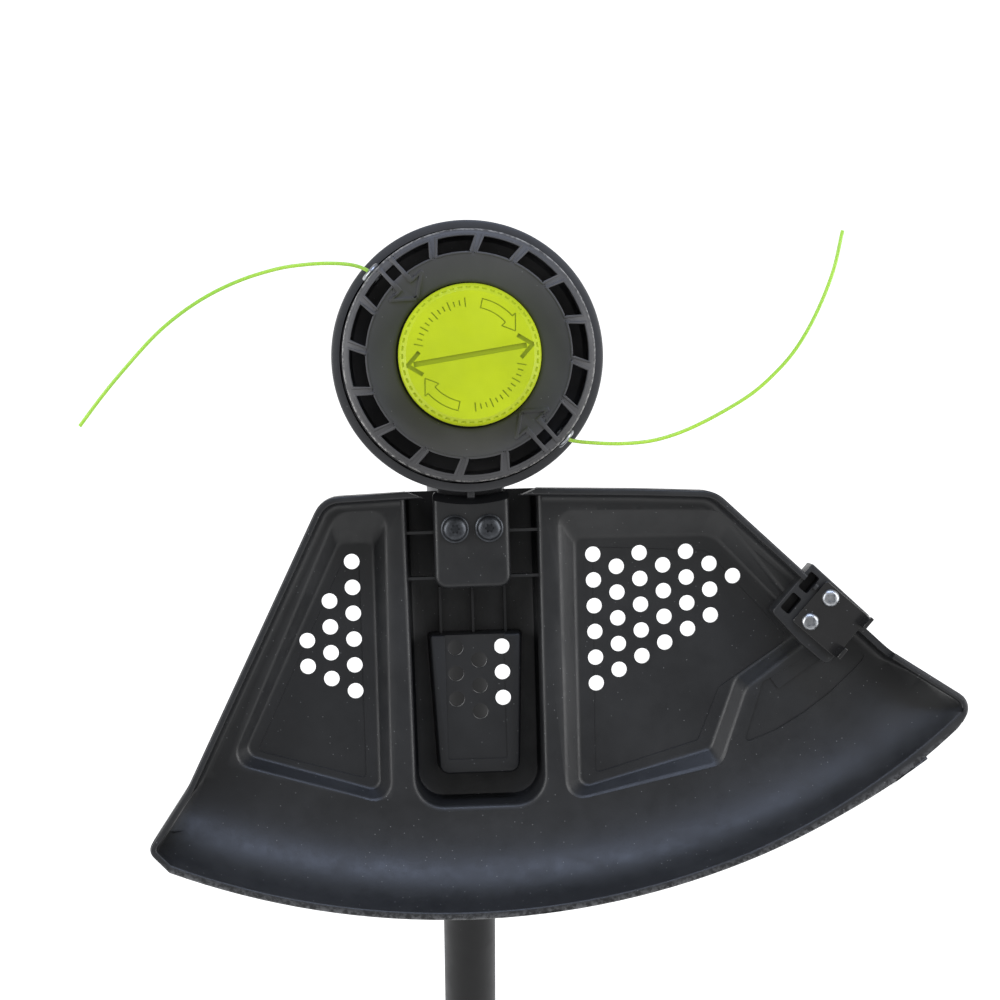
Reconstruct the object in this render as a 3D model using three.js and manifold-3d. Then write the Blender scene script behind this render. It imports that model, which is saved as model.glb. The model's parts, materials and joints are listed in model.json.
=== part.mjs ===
// A battery string trimmer with its motor in the cutting head: head, guard, shaft, handles and battery.
// Millimetres. +Z runs up the shaft towards the cutting head, and the head faces the ground side, -Y.
// The origin is on the shaft's axis, where a rack's tube clip holds it.
import * as THREE from "three";
import { mergeVertices } from "three/addons/utils/BufferGeometryUtils.js";
import Module from "manifold-3d";

const wasm = await Module();
wasm.setup();

// ---------- driving dimensions ----------
const GAP = 0.3; // air left between parts that touch

// The head's own frame: x to the side, y away from the user, z out of the knob.
// Its z = 0 is the plane of the cutting line.
const SHAFT_TO_HEAD_PLANE = THREE.MathUtils.degToRad(35);
const SPIN_MEETS_SHAFT_Z = 700; // height of the point where the spin axis meets the shaft's axis
const SPIN_MEETS_SHAFT_DEPTH = 62; // how far that point lies behind the cutting line's plane

const SHAFT = { radius: 13, wall: 1.5, top: SPIN_MEETS_SHAFT_Z - 25, bottom: -520 };

const HEAD = { radius: 52.6, wall: 2.5, back: -12, rim: 5, bevel: 3 };
const COVER = { windowInner: 43, windowOuter: 49, windows: 16, windowAngle: 0.31, slant: -0.045,
  byArrowAngle: 0.21, byArrowShift: 0.055, arrowAngle: 0.1, faceRadius: 41, bore: 30.3 };
const KNOB = { radius: 29.4, faceRadius: 26.5, foot: 6.3, face: 27, travel: 4.5, wall: 2.6,
  stem: 9.6 };
const SPOOL = { radius: 42, hub: 17, bore: 13.1, back: -4.5, front: 6, flange: 1.5, woundRadius: 38 };
const SLEEVE = { inner: 10.3, outer: 12.7, back: -6.5, front: 3, teeth: 8, toothBack: -9.2, toothHalf: 1.6 };
const SPRING = { radius: 8.7, wire: 0.6, back: -9.2, turns: 5 };
const SPINDLE_NUT = { acrossFlats: 13, back: -9.2, front: -4 };
const EYELET = { bore: 1.7, barrel: 3, depth: 3.4, flange: 4.6, proud: 2, hole: 3.3 };
const EYELET_ANGLE = THREE.MathUtils.degToRad(138);
const ARROW_ANGLE = THREE.MathUtils.degToRad(131);
const LINE_RADIUS = 0.8;

const HOUSING = { radius: 57.5, waist: 55.5, shoulder: 51, wall: 3.5, mouth: -13.5, cavityTop: -58,
  domeTop: -78, vents: 7, ventHalf: 1.4 };
const NECK = { radius: 19, endRadius: 16.5, length: 98 };
const BRACKET = { halfWidth: 14, ribHalf: 4, end: -97, back: -36, front: -29.3, ribBack: -47 };
const BASE_PLATE = { bore: 6, back: -17.5, front: -15, screwCircle: 49, screwRadius: 1.8, screwHead: 3.2 };
const MOTOR = { statorRadius: 34, statorBore: 12.2, statorBack: -48.5, statorFront: -26.5, slots: 12,
  bellRadius: 41, magnetRadius: 36, spindleRadius: 4, slotInner: 17, slotOuter: 32, slotHalf: 2.6 };
const MOUNT = { bore: 9.3, tubeFront: -25, flange: 46, flangeFront: -54.2, flangeBack: -57.6, cableHole: 5 };
const BEARING = { outer: 9, width: 7, front: -33, rear: -55 };

const GUARD = { land: -22, thickness: 3, wallTop: -8, lipTop: 6, arcX: -5.6, arcY: 103.8, arcRadius: 339.6,
  lipWidth: 46, pocketDepth: 8, channelDepth: 28, panelDepth: 18, holeRadius: 3.35,
  holePitchX: 10, holePitchY: 11.1 };
const CHANNEL = { halfWidth: 28, top: -50, bottom: -191.5, corner: 12, panelTop: -119.5, wall: 3 };
const PAD = { halfWidth: 16.2, top: -57, bottom: -98, front: -17, back: -29 };
const GUARD_SCREW = { x: 7.3, y: -73, headRadius: 5.8, headHeight: 3.6, radius: 2.5, length: 14 };
const BLADE = { x: 150.6, y: -115.6, length: 24, width: 22.6, thickness: 1.6, back: -9.5, earTop: 6,
  turn: THREE.MathUtils.degToRad(-42.3), screwAlong: -6, screwAcross: 6.6 };
const BLADE_SCREW = { headRadius: 3.7, headHeight: 2.2, radius: 1.8, length: 10 };

const FRONT_HANDLE = { z: -170, tubeRadius: 11.5, halfWidth: 66, height: 122,
  lean: THREE.MathUtils.degToRad(15), baseHalf: 34, baseReach: 25, clampReach: 22, splitGap: 0.5,
  lengthHalf: 17 };
const CLAMP_BOLT = { x: 24, radius: 3, headRadius: 5.4, headTop: 30 };
const CLAMP_KNOB = { radius: 11.5, lobeRadius: 5, lobes: 6, near: -22.4, far: -35 };
const STRAP = { z: -455, lugY: 23, ringWire: 2, ringHalfWidth: 17, ringDrop: 27 };
const REAR = { top: -505, gripTop: -585, gripEnd: -680, dockTop: -740, bottom: -825, wall: 3 };
const TRIGGER = { pivotY: -7, pivotZ: -562, halfWidth: 6.5 };
const LOCK_OFF = { pivotY: 11, pivotZ: -640, halfWidth: 6 };
const BATTERY = { halfX: 38, halfY: 42, top: -768, bottom: -898, wall: 3 };
const CHARGE_BUTTON = { halfWidth: 7, low: 22.5, high: 33.5 }; // heights above the battery's foot
const RELEASE_BUTTON = { halfWidth: 12, inner: 44.2, outer: 54, low: -811.4, high: -792.6 };
const CELL = { radius: 10.4, pitch: 20.5, low: 24, high: 110 }; // heights above the battery's foot

// ---------- materials ----------
const paint = (color, roughness, metalness = 0) =>
  new THREE.MeshStandardMaterial({ color, roughness, metalness });
const materials = {
  guardPlastic: paint(0x1c1c1e, 0.42),
  headPlastic: paint(0x46474a, 0.5),
  housingPlastic: paint(0x303134, 0.5),
  green: paint(0xb4d20c, 0.38),
  line: paint(0xa6e03c, 0.3),
  shaftPaint: paint(0x2c2c2e, 0.45),
  grip: paint(0x161617, 0.8),
  blackSteel: paint(0x17171a, 0.25, 0.9),
  steel: paint(0xb8bbbf, 0.3, 1),
  copper: paint(0xb5652c, 0.35, 1),
  laminations: paint(0x7d8085, 0.45, 1),
  magnet: paint(0x5a5c60, 0.35, 1),
  board: paint(0x1d5a38, 0.5),
  cell: paint(0x3f78b0, 0.45),
  cable: paint(0x1a1a1a, 0.6),
};

// ---------- shape helpers ----------
function toSolid(geometry) {
  const plain = geometry.index ? geometry.toNonIndexed() : geometry.clone();
  plain.deleteAttribute("normal");
  plain.deleteAttribute("uv");
  const merged = mergeVertices(plain, 1e-3);
  return new wasm.Manifold(new wasm.Mesh({ numProp: 3,
    vertProperties: merged.attributes.position.array, triVerts: new Uint32Array(merged.index.array) }));
}

function toGeometry(solid) {
  const mesh = solid.getMesh();
  return new THREE.BufferGeometry()
    .setAttribute("position", new THREE.BufferAttribute(new Float32Array(mesh.vertProperties), 3))
    .setIndex(new THREE.BufferAttribute(new Uint32Array(mesh.triVerts), 1));
}

const asSolid = (piece) => (piece.isBufferGeometry ? toSolid(piece) : piece);
const join = (...pieces) => pieces.map(asSolid).reduce((whole, piece) => whole.add(piece));
const cut = (whole, ...tools) =>
  tools.map(asSolid).reduce((left, tool) => left.subtract(tool), asSolid(whole));
const common = (a, b) => asSolid(a).intersect(asSolid(b));

// Corners [x, y, radius] become a ring of points, each round corner a short arc of the same number of steps.
function roundedRing(corners, steps = 4) {
  const ring = [];
  corners.forEach(([x, y, radius = 0], i) => {
    const here = new THREE.Vector2(x, y);
    if (!radius) {
      ring.push(here);
      return;
    }
    const [px, py] = corners[(i + corners.length - 1) % corners.length];
    const [nx, ny] = corners[(i + 1) % corners.length];
    const back = new THREE.Vector2(px, py).sub(here).normalize();
    const ahead = new THREE.Vector2(nx, ny).sub(here).normalize();
    const half = Math.acos(THREE.MathUtils.clamp(back.dot(ahead), -1, 1)) / 2;
    const reach = radius / Math.tan(half);
    const from = here.clone().addScaledVector(back, reach);
    const to = here.clone().addScaledVector(ahead, reach);
    const middle = back.clone().add(ahead).normalize();
    const centre = here.clone().addScaledVector(middle, radius / Math.sin(half));
    const start = from.clone().sub(centre).angle();
    let sweep = to.clone().sub(centre).angle() - start;
    if (sweep > Math.PI) sweep -= 2 * Math.PI;
    if (sweep < -Math.PI) sweep += 2 * Math.PI;
    const r = from.distanceTo(centre);
    for (let k = 0; k <= steps; k++) {
      const a = start + (sweep * k) / steps;
      ring.push(new THREE.Vector2(centre.x + r * Math.cos(a), centre.y + r * Math.sin(a)));
    }
  });
  return ring;
}

const circleRing = (x, y, radius, count) => Array.from({ length: count }, (_, i) => {
  const a = (2 * Math.PI * i) / count;
  return new THREE.Vector2(x + radius * Math.cos(a), y + radius * Math.sin(a));
});

const rectangleRing = (x0, y0, x1, y1, radius = 0, steps = 3) =>
  roundedRing([[x0, y0, radius], [x1, y0, radius], [x1, y1, radius], [x0, y1, radius]], steps);

// A ring pushed inwards by a distance, or outwards by a negative one. The ring runs counter-clockwise.
function insetRing(ring, distance) {
  const count = ring.length;
  return ring.map((point, i) => {
    const before = ring[(i + count - 1) % count].clone().sub(point).normalize();
    const after = ring[(i + 1) % count].clone().sub(point).normalize();
    const normal = new THREE.Vector2(before.y - after.y, after.x - before.x).normalize();
    const square = Math.max(Math.abs(normal.x * before.y - normal.y * before.x), 0.5);
    return point.clone().addScaledVector(normal, distance / square);
  });
}

// A straight prism of a ring between two heights.
function prism(ring, low, high) {
  const settings = { depth: high - low, bevelEnabled: false };
  return new THREE.ExtrudeGeometry(new THREE.Shape(ring), settings).translate(0, 0, low);
}

// A closed skin through rings of equal length, each a list of points in space, with flat ends.
function loft(rings) {
  const count = rings[0].length;
  const positions = rings.flat().flatMap((p) => [p.x, p.y, p.z]);
  const index = [];
  for (let r = 0; r + 1 < rings.length; r++)
    for (let i = 0; i < count; i++) {
      const a = r * count + i;
      const b = r * count + ((i + 1) % count);
      index.push(a, b, b + count, a, b + count, a + count);
    }
  const ends = (ring) => THREE.ShapeUtils.triangulateShape(ring.map((p) => new THREE.Vector2(p.x, p.y)), []);
  const last = (rings.length - 1) * count;
  ends(rings[0]).forEach(([a, b, c]) => index.push(c, b, a));
  ends(rings.at(-1)).forEach(([a, b, c]) => index.push(last + a, last + b, last + c));
  return new THREE.BufferGeometry()
    .setAttribute("position", new THREE.Float32BufferAttribute(positions, 3))
    .setIndex(index);
}

const atHeight = (ring, z) => ring.map((p) => new THREE.Vector3(p.x, p.y, z));

// A turned piece, from its profile of [radius, z] corners.
function turned(profile, segments = 32) {
  const points = profile.map(([r, z]) => new THREE.Vector2(r, z));
  if (THREE.ShapeUtils.area(points) < 0) points.reverse();
  const onAxis = points[0].x === 0 && points.at(-1).x === 0;
  if (!onAxis) points.push(points[0].clone());
  return new THREE.LatheGeometry(points, segments).rotateX(Math.PI / 2);
}

const ringBetween = (inner, outer, low, high, segments = 24) =>
  turned([[inner, low], [outer, low], [outer, high], [inner, high]], segments);
const rod = (radius, low, high, segments = 14) =>
  turned([[0, low], [radius, low], [radius, high], [0, high]], segments);

// A rod along x or along y instead of z.
const rodX = (radius, low, high, segments) => rod(radius, low, high, segments).rotateY(Math.PI / 2);
const rodY = (radius, low, high, segments) => rod(radius, low, high, segments).rotateX(-Math.PI / 2);

// A slab of a side view's outline, its corners [y, z, radius], reaching to both sides of x = 0.
function sideSlab(corners, halfWidth, steps = 2) {
  const shape = new THREE.Shape(roundedRing(corners, steps));
  return new THREE.ExtrudeGeometry(shape, { depth: 2 * halfWidth, bevelEnabled: false })
    .rotateX(Math.PI / 2).rotateZ(Math.PI / 2).translate(-halfWidth, 0, 0);
}

const both = [-1, 1]; // the two sides of a symmetrical piece

// A closed or open tube of round section along a curve.
function tube(curve, radius, steps, sides = 8) {
  const section = new THREE.Shape(circleRing(0, 0, radius, sides));
  return new THREE.ExtrudeGeometry(section, { steps, extrudePath: curve, bevelEnabled: false });
}

const curveThrough = (points, closed = false) =>
  new THREE.CatmullRomCurve3(points.map((p) => new THREE.Vector3(...p)), closed, "centripetal");

// A point of the head's frame, in the row's.
function toRow([x, y, z]) {
  const sine = Math.sin(SHAFT_TO_HEAD_PLANE);
  const cosine = Math.cos(SHAFT_TO_HEAD_PLANE);
  const behind = z + SPIN_MEETS_SHAFT_DEPTH;
  return [x, y * sine - behind * cosine, SPIN_MEETS_SHAFT_Z + y * cosine + behind * sine];
}

const inHead = new THREE.Group();
const inRow = new THREE.Group();
function add(group, name, piece, material) {
  const geometry = piece.isBufferGeometry ? piece : toGeometry(piece);
  const mesh = new THREE.Mesh(geometry, material);
  mesh.name = name;
  group.add(mesh);
  return mesh;
}

// ---------- cutting head ----------
// One window of the cover, its outer edge turned on by the slant.
function windowRing(middle, width, slant) {
  const { windowInner, windowOuter } = COVER;
  const corner = (radius, angle) => new THREE.Vector2(radius * Math.cos(angle), radius * Math.sin(angle));
  return [corner(windowInner, middle - width / 2), corner(windowOuter, middle - width / 2 + slant),
    corner(windowOuter, middle + width / 2 + slant), corner(windowInner, middle + width / 2)];
}

function headCover() {
  const foot = HEAD.rim + GAP;
  const shell = turned([[COVER.bore, 8.6], [COVER.faceRadius, 10], [42.4, 10], [50.2, 6.6], [50.2, foot],
    [HEAD.radius, foot], [HEAD.radius, 8.6], [51, 10.4], [43, 12.4], [COVER.faceRadius, 12.4],
    [COVER.bore + 1.6, 10.6], [COVER.bore, 10.6]], 32);
  const pitch = (2 * Math.PI) / COVER.windows;
  const perHalf = COVER.windows / 2;
  const rings = [];
  for (let i = 0; i < COVER.windows; i++) {
    const angle = ARROW_ANGLE + pitch * (i + 0.5);
    const afterArrow = i % perHalf === 0;
    const byArrow = afterArrow || (i + 1) % perHalf === 0;
    const middle = byArrow ? angle + (afterArrow ? 1 : -1) * COVER.byArrowShift : angle;
    rings.push(windowRing(middle, byArrow ? COVER.byArrowAngle : COVER.windowAngle, COVER.slant));
  }
  for (const turn of [0, Math.PI]) rings.push(windowRing(ARROW_ANGLE + turn, COVER.arrowAngle, 0));
  return cut(shell, ...rings.map((ring) => prism(ring, 4, 16)));
}

function headCase() {
  const { radius, wall, back, rim, bevel } = HEAD;
  const bore = MOTOR.spindleRadius + GAP;
  const shell = turned([[bore, back], [radius - bevel, back], [radius, back + bevel], [radius, rim],
    [radius - wall, rim], [radius - wall, back + wall], [bore, back + wall]], 32);
  const holes = [0, Math.PI].map((turn) =>
    rodX(EYELET.hole, radius - 8, radius + 4, 12).rotateZ(EYELET_ANGLE + turn));
  return cut(shell, ...holes);
}

// The eyelet is turned on z, then laid along the head's radius with its flange outside the wall.
function eyelet(turn) {
  const { bore, barrel, depth, flange, proud } = EYELET;
  const bush = turned([[bore, -depth], [barrel, -depth], [barrel, GAP], [flange, GAP], [flange, proud - 0.6],
    [flange - 1.2, proud], [bore, proud]], 12);
  return bush.rotateY(Math.PI / 2).translate(HEAD.radius, 0, 0).rotateZ(EYELET_ANGLE + turn);
}

function bumpKnob() {
  const { radius, faceRadius, foot, face, wall, stem } = KNOB;
  return turned([[0, foot], [stem, foot], [stem, face - wall - 2], [radius - wall, face - wall - 5],
    [radius - wall, foot], [radius, foot], [radius, face - 3.4], [radius - 1, face - 1.2], [faceRadius, face],
    [0, face]], 28);
}

function spool() {
  const { radius, hub, bore, back, front, flange } = SPOOL;
  return turned([[bore, back], [radius, back], [radius, back + flange], [hub, back + flange],
    [hub, front - flange], [radius, front - flange], [radius, front], [bore, front]], 24);
}

function woundLine() {
  const { hub, back, front, flange, woundRadius } = SPOOL;
  const low = back + flange + GAP;
  const high = front - flange - GAP;
  return turned([[hub + GAP, low], [woundRadius - 1, low], [woundRadius, low + 1.4],
    [woundRadius - 0.6, (low + high) / 2], [woundRadius, high - 1.4], [woundRadius - 1, high],
    [hub + GAP, high]], 24);
}

// A sleeve that turns with the spool, which slides on it: a tube with cam teeth on its back end.
function feedSleeve() {
  const { inner, outer, back, front, teeth, toothBack, toothHalf } = SLEEVE;
  const tooth = rectangleRing(inner + 0.5, -toothHalf, outer - 0.2, toothHalf);
  return join(ringBetween(inner, outer, back, front), ...Array.from({ length: teeth }, (_, i) =>
    prism(tooth, toothBack, back + 0.5).rotateZ((2 * Math.PI * i) / teeth)));
}

function bumpSpring() {
  const { radius, wire, back, turns } = SPRING;
  const rise = KNOB.foot - GAP - back - 2 * wire;
  const perTurn = 9;
  const steps = turns * perTurn;
  const points = Array.from({ length: steps + 1 }, (_, i) => {
    const a = (2 * Math.PI * i) / perTurn;
    return [radius * Math.cos(a), radius * Math.sin(a), back + wire + (rise * i) / steps];
  });
  return tube(curveThrough(points), wire, steps, 5);
}

function spindleNut() {
  const { acrossFlats, back, front } = SPINDLE_NUT;
  const hexagon = circleRing(0, 0, acrossFlats / Math.sqrt(3), 6);
  return cut(prism(hexagon, back, front), rod(MOTOR.spindleRadius + GAP, back - 1, front + 1, 16));
}

// The cutting line's two free ends, as points in the head's frame. Each comes out of its eyelet.
const LINE_ENDS = {
  cutting_line_1: [[-37.5, 33.8, 0], [-41.2, 36.7, 0], [-45.6, 38.6, 0.1], [-51, 39.6, 0.3], [-60, 40, 0.5],
    [-68, 39.6, 0.8], [-77, 38.5, 1.1], [-93.6, 34, 1.3], [-110.4, 26.3, 1.4], [-127.3, 14.4, 1.3],
    [-144.6, -3.3, 1.1], [-153.2, -13.2, 0.9], [-162.4, -24.8, 0.6]],
  cutting_line_2: [[37.5, -33.8, 0], [41.2, -36.3, 0], [45.6, -37.3, 0.1], [51, -37.9, 0.3], [59, -38.5, 0.5],
    [67.5, -38.5, 0.8], [76, -37.7, 1.1], [84.4, -35.7, 1.2], [93, -32.6, 1.3], [106, -26.4, 1.4],
    [118.6, -19, 1.4], [127.2, -11.9, 1.3], [136, -2.7, 1.1], [144.8, 10.8, 0.9], [153.7, 30.6, 0.7],
    [158.3, 48, 0.5]],
};

// ---------- the cable, from the motor's back end down the shaft to the controller ----------
const CABLE_RADIUS = 2.6;
const CABLE_IN_HEAD = [[0, 19, -52.6], [0, 18.5, -57], [0, 11, -65], [0, -6, -70.5], [0, -20.5, -76.4],
  [0, -36.9, -87.8]];
const CABLE_IN_HANDLE = [[0, 0, -522], [3, 0, -534], [9.6, 0, -552], [9.8, 0, -600], [9.8, 0, -690],
  [8, 0, -722], [6, 0, -738]];

// ---------- motor and its housing ----------
// For a piece whose z runs down the shaft, starting where the two axes meet.
const alongShaft = (geometry) =>
  geometry.rotateX(Math.PI / 2 + SHAFT_TO_HEAD_PLANE).translate(0, 0, -SPIN_MEETS_SHAFT_DEPTH);

// The bell, the neck that takes the shaft and the bracket that carries the guard are one moulding.
function motorHousing() {
  const { radius, waist, shoulder, wall, mouth, cavityTop, domeTop, vents, ventHalf } = HOUSING;
  const bell = turned([[0, mouth], [radius - 0.8, mouth], [radius, mouth - 0.8], [radius, mouth - 6],
    [waist, mouth - 26], [shoulder, cavityTop], [41, cavityTop - 12], [24, domeTop + 1], [0, domeTop]], 32);
  const cavity = turned([[0, mouth + 1], [radius - wall, mouth + 1], [radius - wall, mouth - 6],
    [waist - wall, mouth - 26], [shoulder - wall, cavityTop + 1], [47, cavityTop], [0, cavityTop]], 32);
  const neck = alongShaft(turned([[0, -8], [NECK.radius, -8], [NECK.radius, 40], [NECK.endRadius, 84],
    [NECK.endRadius, NECK.length], [0, NECK.length]], 20));
  const shaftBore = alongShaft(rod(SHAFT.radius + 0.05 + GAP, 24.5, NECK.length + 1, 28));

  const plate = prism(rectangleRing(-BRACKET.halfWidth, BRACKET.end, BRACKET.halfWidth, -40, 3),
    BRACKET.back, BRACKET.front);
  const rib = prism(rectangleRing(-BRACKET.ribHalf, BRACKET.end + 3, BRACKET.ribHalf, -40),
    BRACKET.ribBack, BRACKET.back + 1);
  const bracket = cut(join(plate, rib), rod(50, -60, -10, 32));

  const cableWay = tube(curveThrough(CABLE_IN_HEAD), CABLE_RADIUS + 1.2, 10, 8);
  const slot = rectangleRing(44, -ventHalf, 62, ventHalf);
  const slots = Array.from({ length: vents }, (_, i) =>
    prism(slot, cavityTop + 2, mouth - 24).rotateZ(Math.PI * (0.03 + (0.94 * i) / (vents - 1))));
  const screwHoles = both.map((side) =>
    rod(GUARD_SCREW.radius + GAP, BRACKET.back - 1, BRACKET.front + 1, 14)
      .translate(side * GUARD_SCREW.x, GUARD_SCREW.y, 0));
  return cut(join(bell, neck, bracket), cavity, shaftBore, cableWay, ...slots, ...screwHoles);
}

const basePlateScrewPlaces = [90, 210, 330].map((degrees) => {
  const a = THREE.MathUtils.degToRad(degrees);
  return [BASE_PLATE.screwCircle * Math.cos(a), BASE_PLATE.screwCircle * Math.sin(a)];
});

function motorBasePlate() {
  const { bore, back, front, screwRadius } = BASE_PLATE;
  const plate = ringBetween(bore, HOUSING.radius - HOUSING.wall - GAP, back, front, 28);
  const holes = basePlateScrewPlaces.map(([x, y]) =>
    rod(screwRadius + GAP, back - 2, front + 5, 10).translate(x, y, 0));
  return cut(plate, ...holes);
}

function basePlateScrew([x, y]) {
  const { front, screwRadius, screwHead } = BASE_PLATE;
  return turned([[0, front - 9], [screwRadius, front - 9], [screwRadius, front + GAP],
    [screwHead, front + GAP], [screwHead, front + 1.6], [0, front + 2]], 10).translate(x, y, 0);
}

// A block for each of the stator's slots, cut from the core and filled by the windings.
function statorBlocks(inner, outer, halfWidth) {
  const { statorBack, statorFront, slots } = MOTOR;
  return Array.from({ length: slots }, (_, i) =>
    prism(rectangleRing(inner, -halfWidth, outer, halfWidth), statorBack - 1, statorFront + 1)
      .rotateZ((2 * Math.PI * i) / slots));
}

function statorCore() {
  const { statorRadius, statorBore, statorBack, statorFront, slotInner, slotOuter, slotHalf } = MOTOR;
  const core = ringBetween(statorBore, statorRadius, statorBack, statorFront);
  return cut(core, ...statorBlocks(slotInner, slotOuter, slotHalf));
}

function statorWindings() {
  const { statorBack, statorFront, slotInner, slotOuter, slotHalf } = MOTOR;
  const inner = slotInner + 0.5;
  const outer = slotOuter - 1;
  return join(ringBetween(inner, outer, statorFront + GAP, statorFront + 2.4, 20),
    ringBetween(inner, outer, statorBack - 2.8, statorBack - GAP, 20),
    ...statorBlocks(inner + 1, outer - 0.5, slotHalf - 0.4));
}

// The stator's core sits on the mount's tube, and the cable passes through a hole in its flange.
function motorMount() {
  const { bore, tubeFront, flange, flangeFront, flangeBack, cableHole } = MOUNT;
  const tubeRadius = MOTOR.statorBore - GAP;
  const body = turned([[bore, tubeFront], [tubeRadius, tubeFront], [tubeRadius, flangeFront],
    [flange, flangeFront], [flange, flangeBack], [bore, flangeBack]], 24);
  return cut(body, rod(cableHole, flangeBack - 3, flangeFront + 4, 10).translate(0, 18.8, 0));
}

function rotorBell() {
  const bore = MOTOR.spindleRadius + GAP;
  const inner = MOTOR.magnetRadius + GAP;
  return turned([[bore, -22.8], [inner, -22.8], [inner, -49], [MOTOR.bellRadius, -49],
    [MOTOR.bellRadius, -21.4], [MOTOR.bellRadius - 1.4, -20], [bore, -20]], 24);
}

const rotorMagnets = () => ringBetween(MOTOR.statorRadius + 0.7, MOTOR.magnetRadius, -48.8, -25);
const spindle = () => turned([[0, -56], [MOTOR.spindleRadius, -56], [MOTOR.spindleRadius, -3.6],
  [MOTOR.spindleRadius - 0.6, -3], [0, -3]], 14);
const bearing = (back) =>
  ringBetween(MOTOR.spindleRadius + GAP, BEARING.outer, back, back + BEARING.width, 16);

// ---------- guard ----------
// The guard's outer outline, counter-clockwise from its lower left corner, with the long lip as an arc.
function guardOutline() {
  const { arcX, arcY, arcRadius } = GUARD;
  const from = Math.atan2(-212 - arcY, -131 - arcX);
  const to = Math.atan2(-166 - arcY, 199 - arcX);
  const spans = 14;
  const arc = Array.from({ length: spans + 1 }, (_, i) => {
    const angle = from + ((to - from) * i) / spans;
    return [arcX + arcRadius * Math.cos(angle), arcY + arcRadius * Math.sin(angle), 0];
  });
  return roundedRing([[-140, -202.6, 4.5], ...arc, [210, -152.6, 7], [175.5, -129.6, 40], [103, -59.8, 14],
    [22, -56.3], [-18, -56.3], [-63.3, -57.8, 12], [-123, -178, 40]], 4);
}

// The two recessed panels, each with its rim and its smaller floor, counter-clockwise.
const POCKETS = [
  { rim: [[-36.5, -65, 6], [-57.5, -65, 10], [-105.5, -170, 7], [-37.5, -190, 7]],
    floor: [[-42, -77.5, 4], [-57, -77.5, 5], [-100.5, -167.5, 5], [-42, -185.5, 4]] },
  { rim: [[106.5, -69, 15], [37.2, -67, 6], [37.4, -191, 7], [104, -177, 6], [115.5, -145.5, 8],
      [147.5, -123, 6]],
    floor: [[103.5, -79, 12], [43.8, -78.5, 4], [43.2, -187, 4], [100.5, -171.5, 4], [112, -141.5, 7],
      [143, -120.5, 5]] },
];

// Holes on one staggered grid, column by column: [column, first row, last row], in steps of the two pitches.
const HOLE_ORIGIN = { x: 1.9, y: -86.2 };
const HOLE_COLUMNS = [[-5.35, 0, 5], [-6.35, 1.5, 4.5], [-7.35, 3, 4], [5, 0, 5], [6, 0.5, 4.5], [7, 0, 4],
  [8, 0.5, 3.5], [9, 0, 3], [10, 0.5, 2.5], [11, 1, 1], [-1, 3.5, 5.5], [0, 4, 6], [1, 3.5, 5.5]];

function guardHoles() {
  const tools = [];
  for (const [column, first, last] of HOLE_COLUMNS)
    for (let row = first; row <= last; row++)
      tools.push(prism(circleRing(HOLE_ORIGIN.x + column * GUARD.holePitchX,
        HOLE_ORIGIN.y - row * GUARD.holePitchY, GUARD.holeRadius, 6), -60, -15));
  return tools;
}

const bladePlace = (geometry) => geometry.rotateZ(BLADE.turn).translate(BLADE.x, BLADE.y, 0);

const aroundArc = (profile) => turned(profile, 60).translate(GUARD.arcX, GUARD.arcY, 0);

// The channel that the shaft's side of the guard stands out behind, and the raised panel on its floor.
const channelRing = (grow) => roundedRing([[-CHANNEL.halfWidth - grow, CHANNEL.top],
  [-CHANNEL.halfWidth + 1.4 - grow, CHANNEL.bottom - grow, CHANNEL.corner + grow],
  [CHANNEL.halfWidth - 0.2 + grow, CHANNEL.bottom - grow, CHANNEL.corner + grow],
  [CHANNEL.halfWidth + grow, CHANNEL.top]]);
const panelRing = (shrink) => roundedRing([[-19.2 + shrink, CHANNEL.panelTop - shrink],
  [-16.2 + shrink, -179.5 + shrink, 4], [18 - shrink, -179.5 + shrink, 4],
  [20.4 - shrink, CHANNEL.panelTop - shrink]]);

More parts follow.
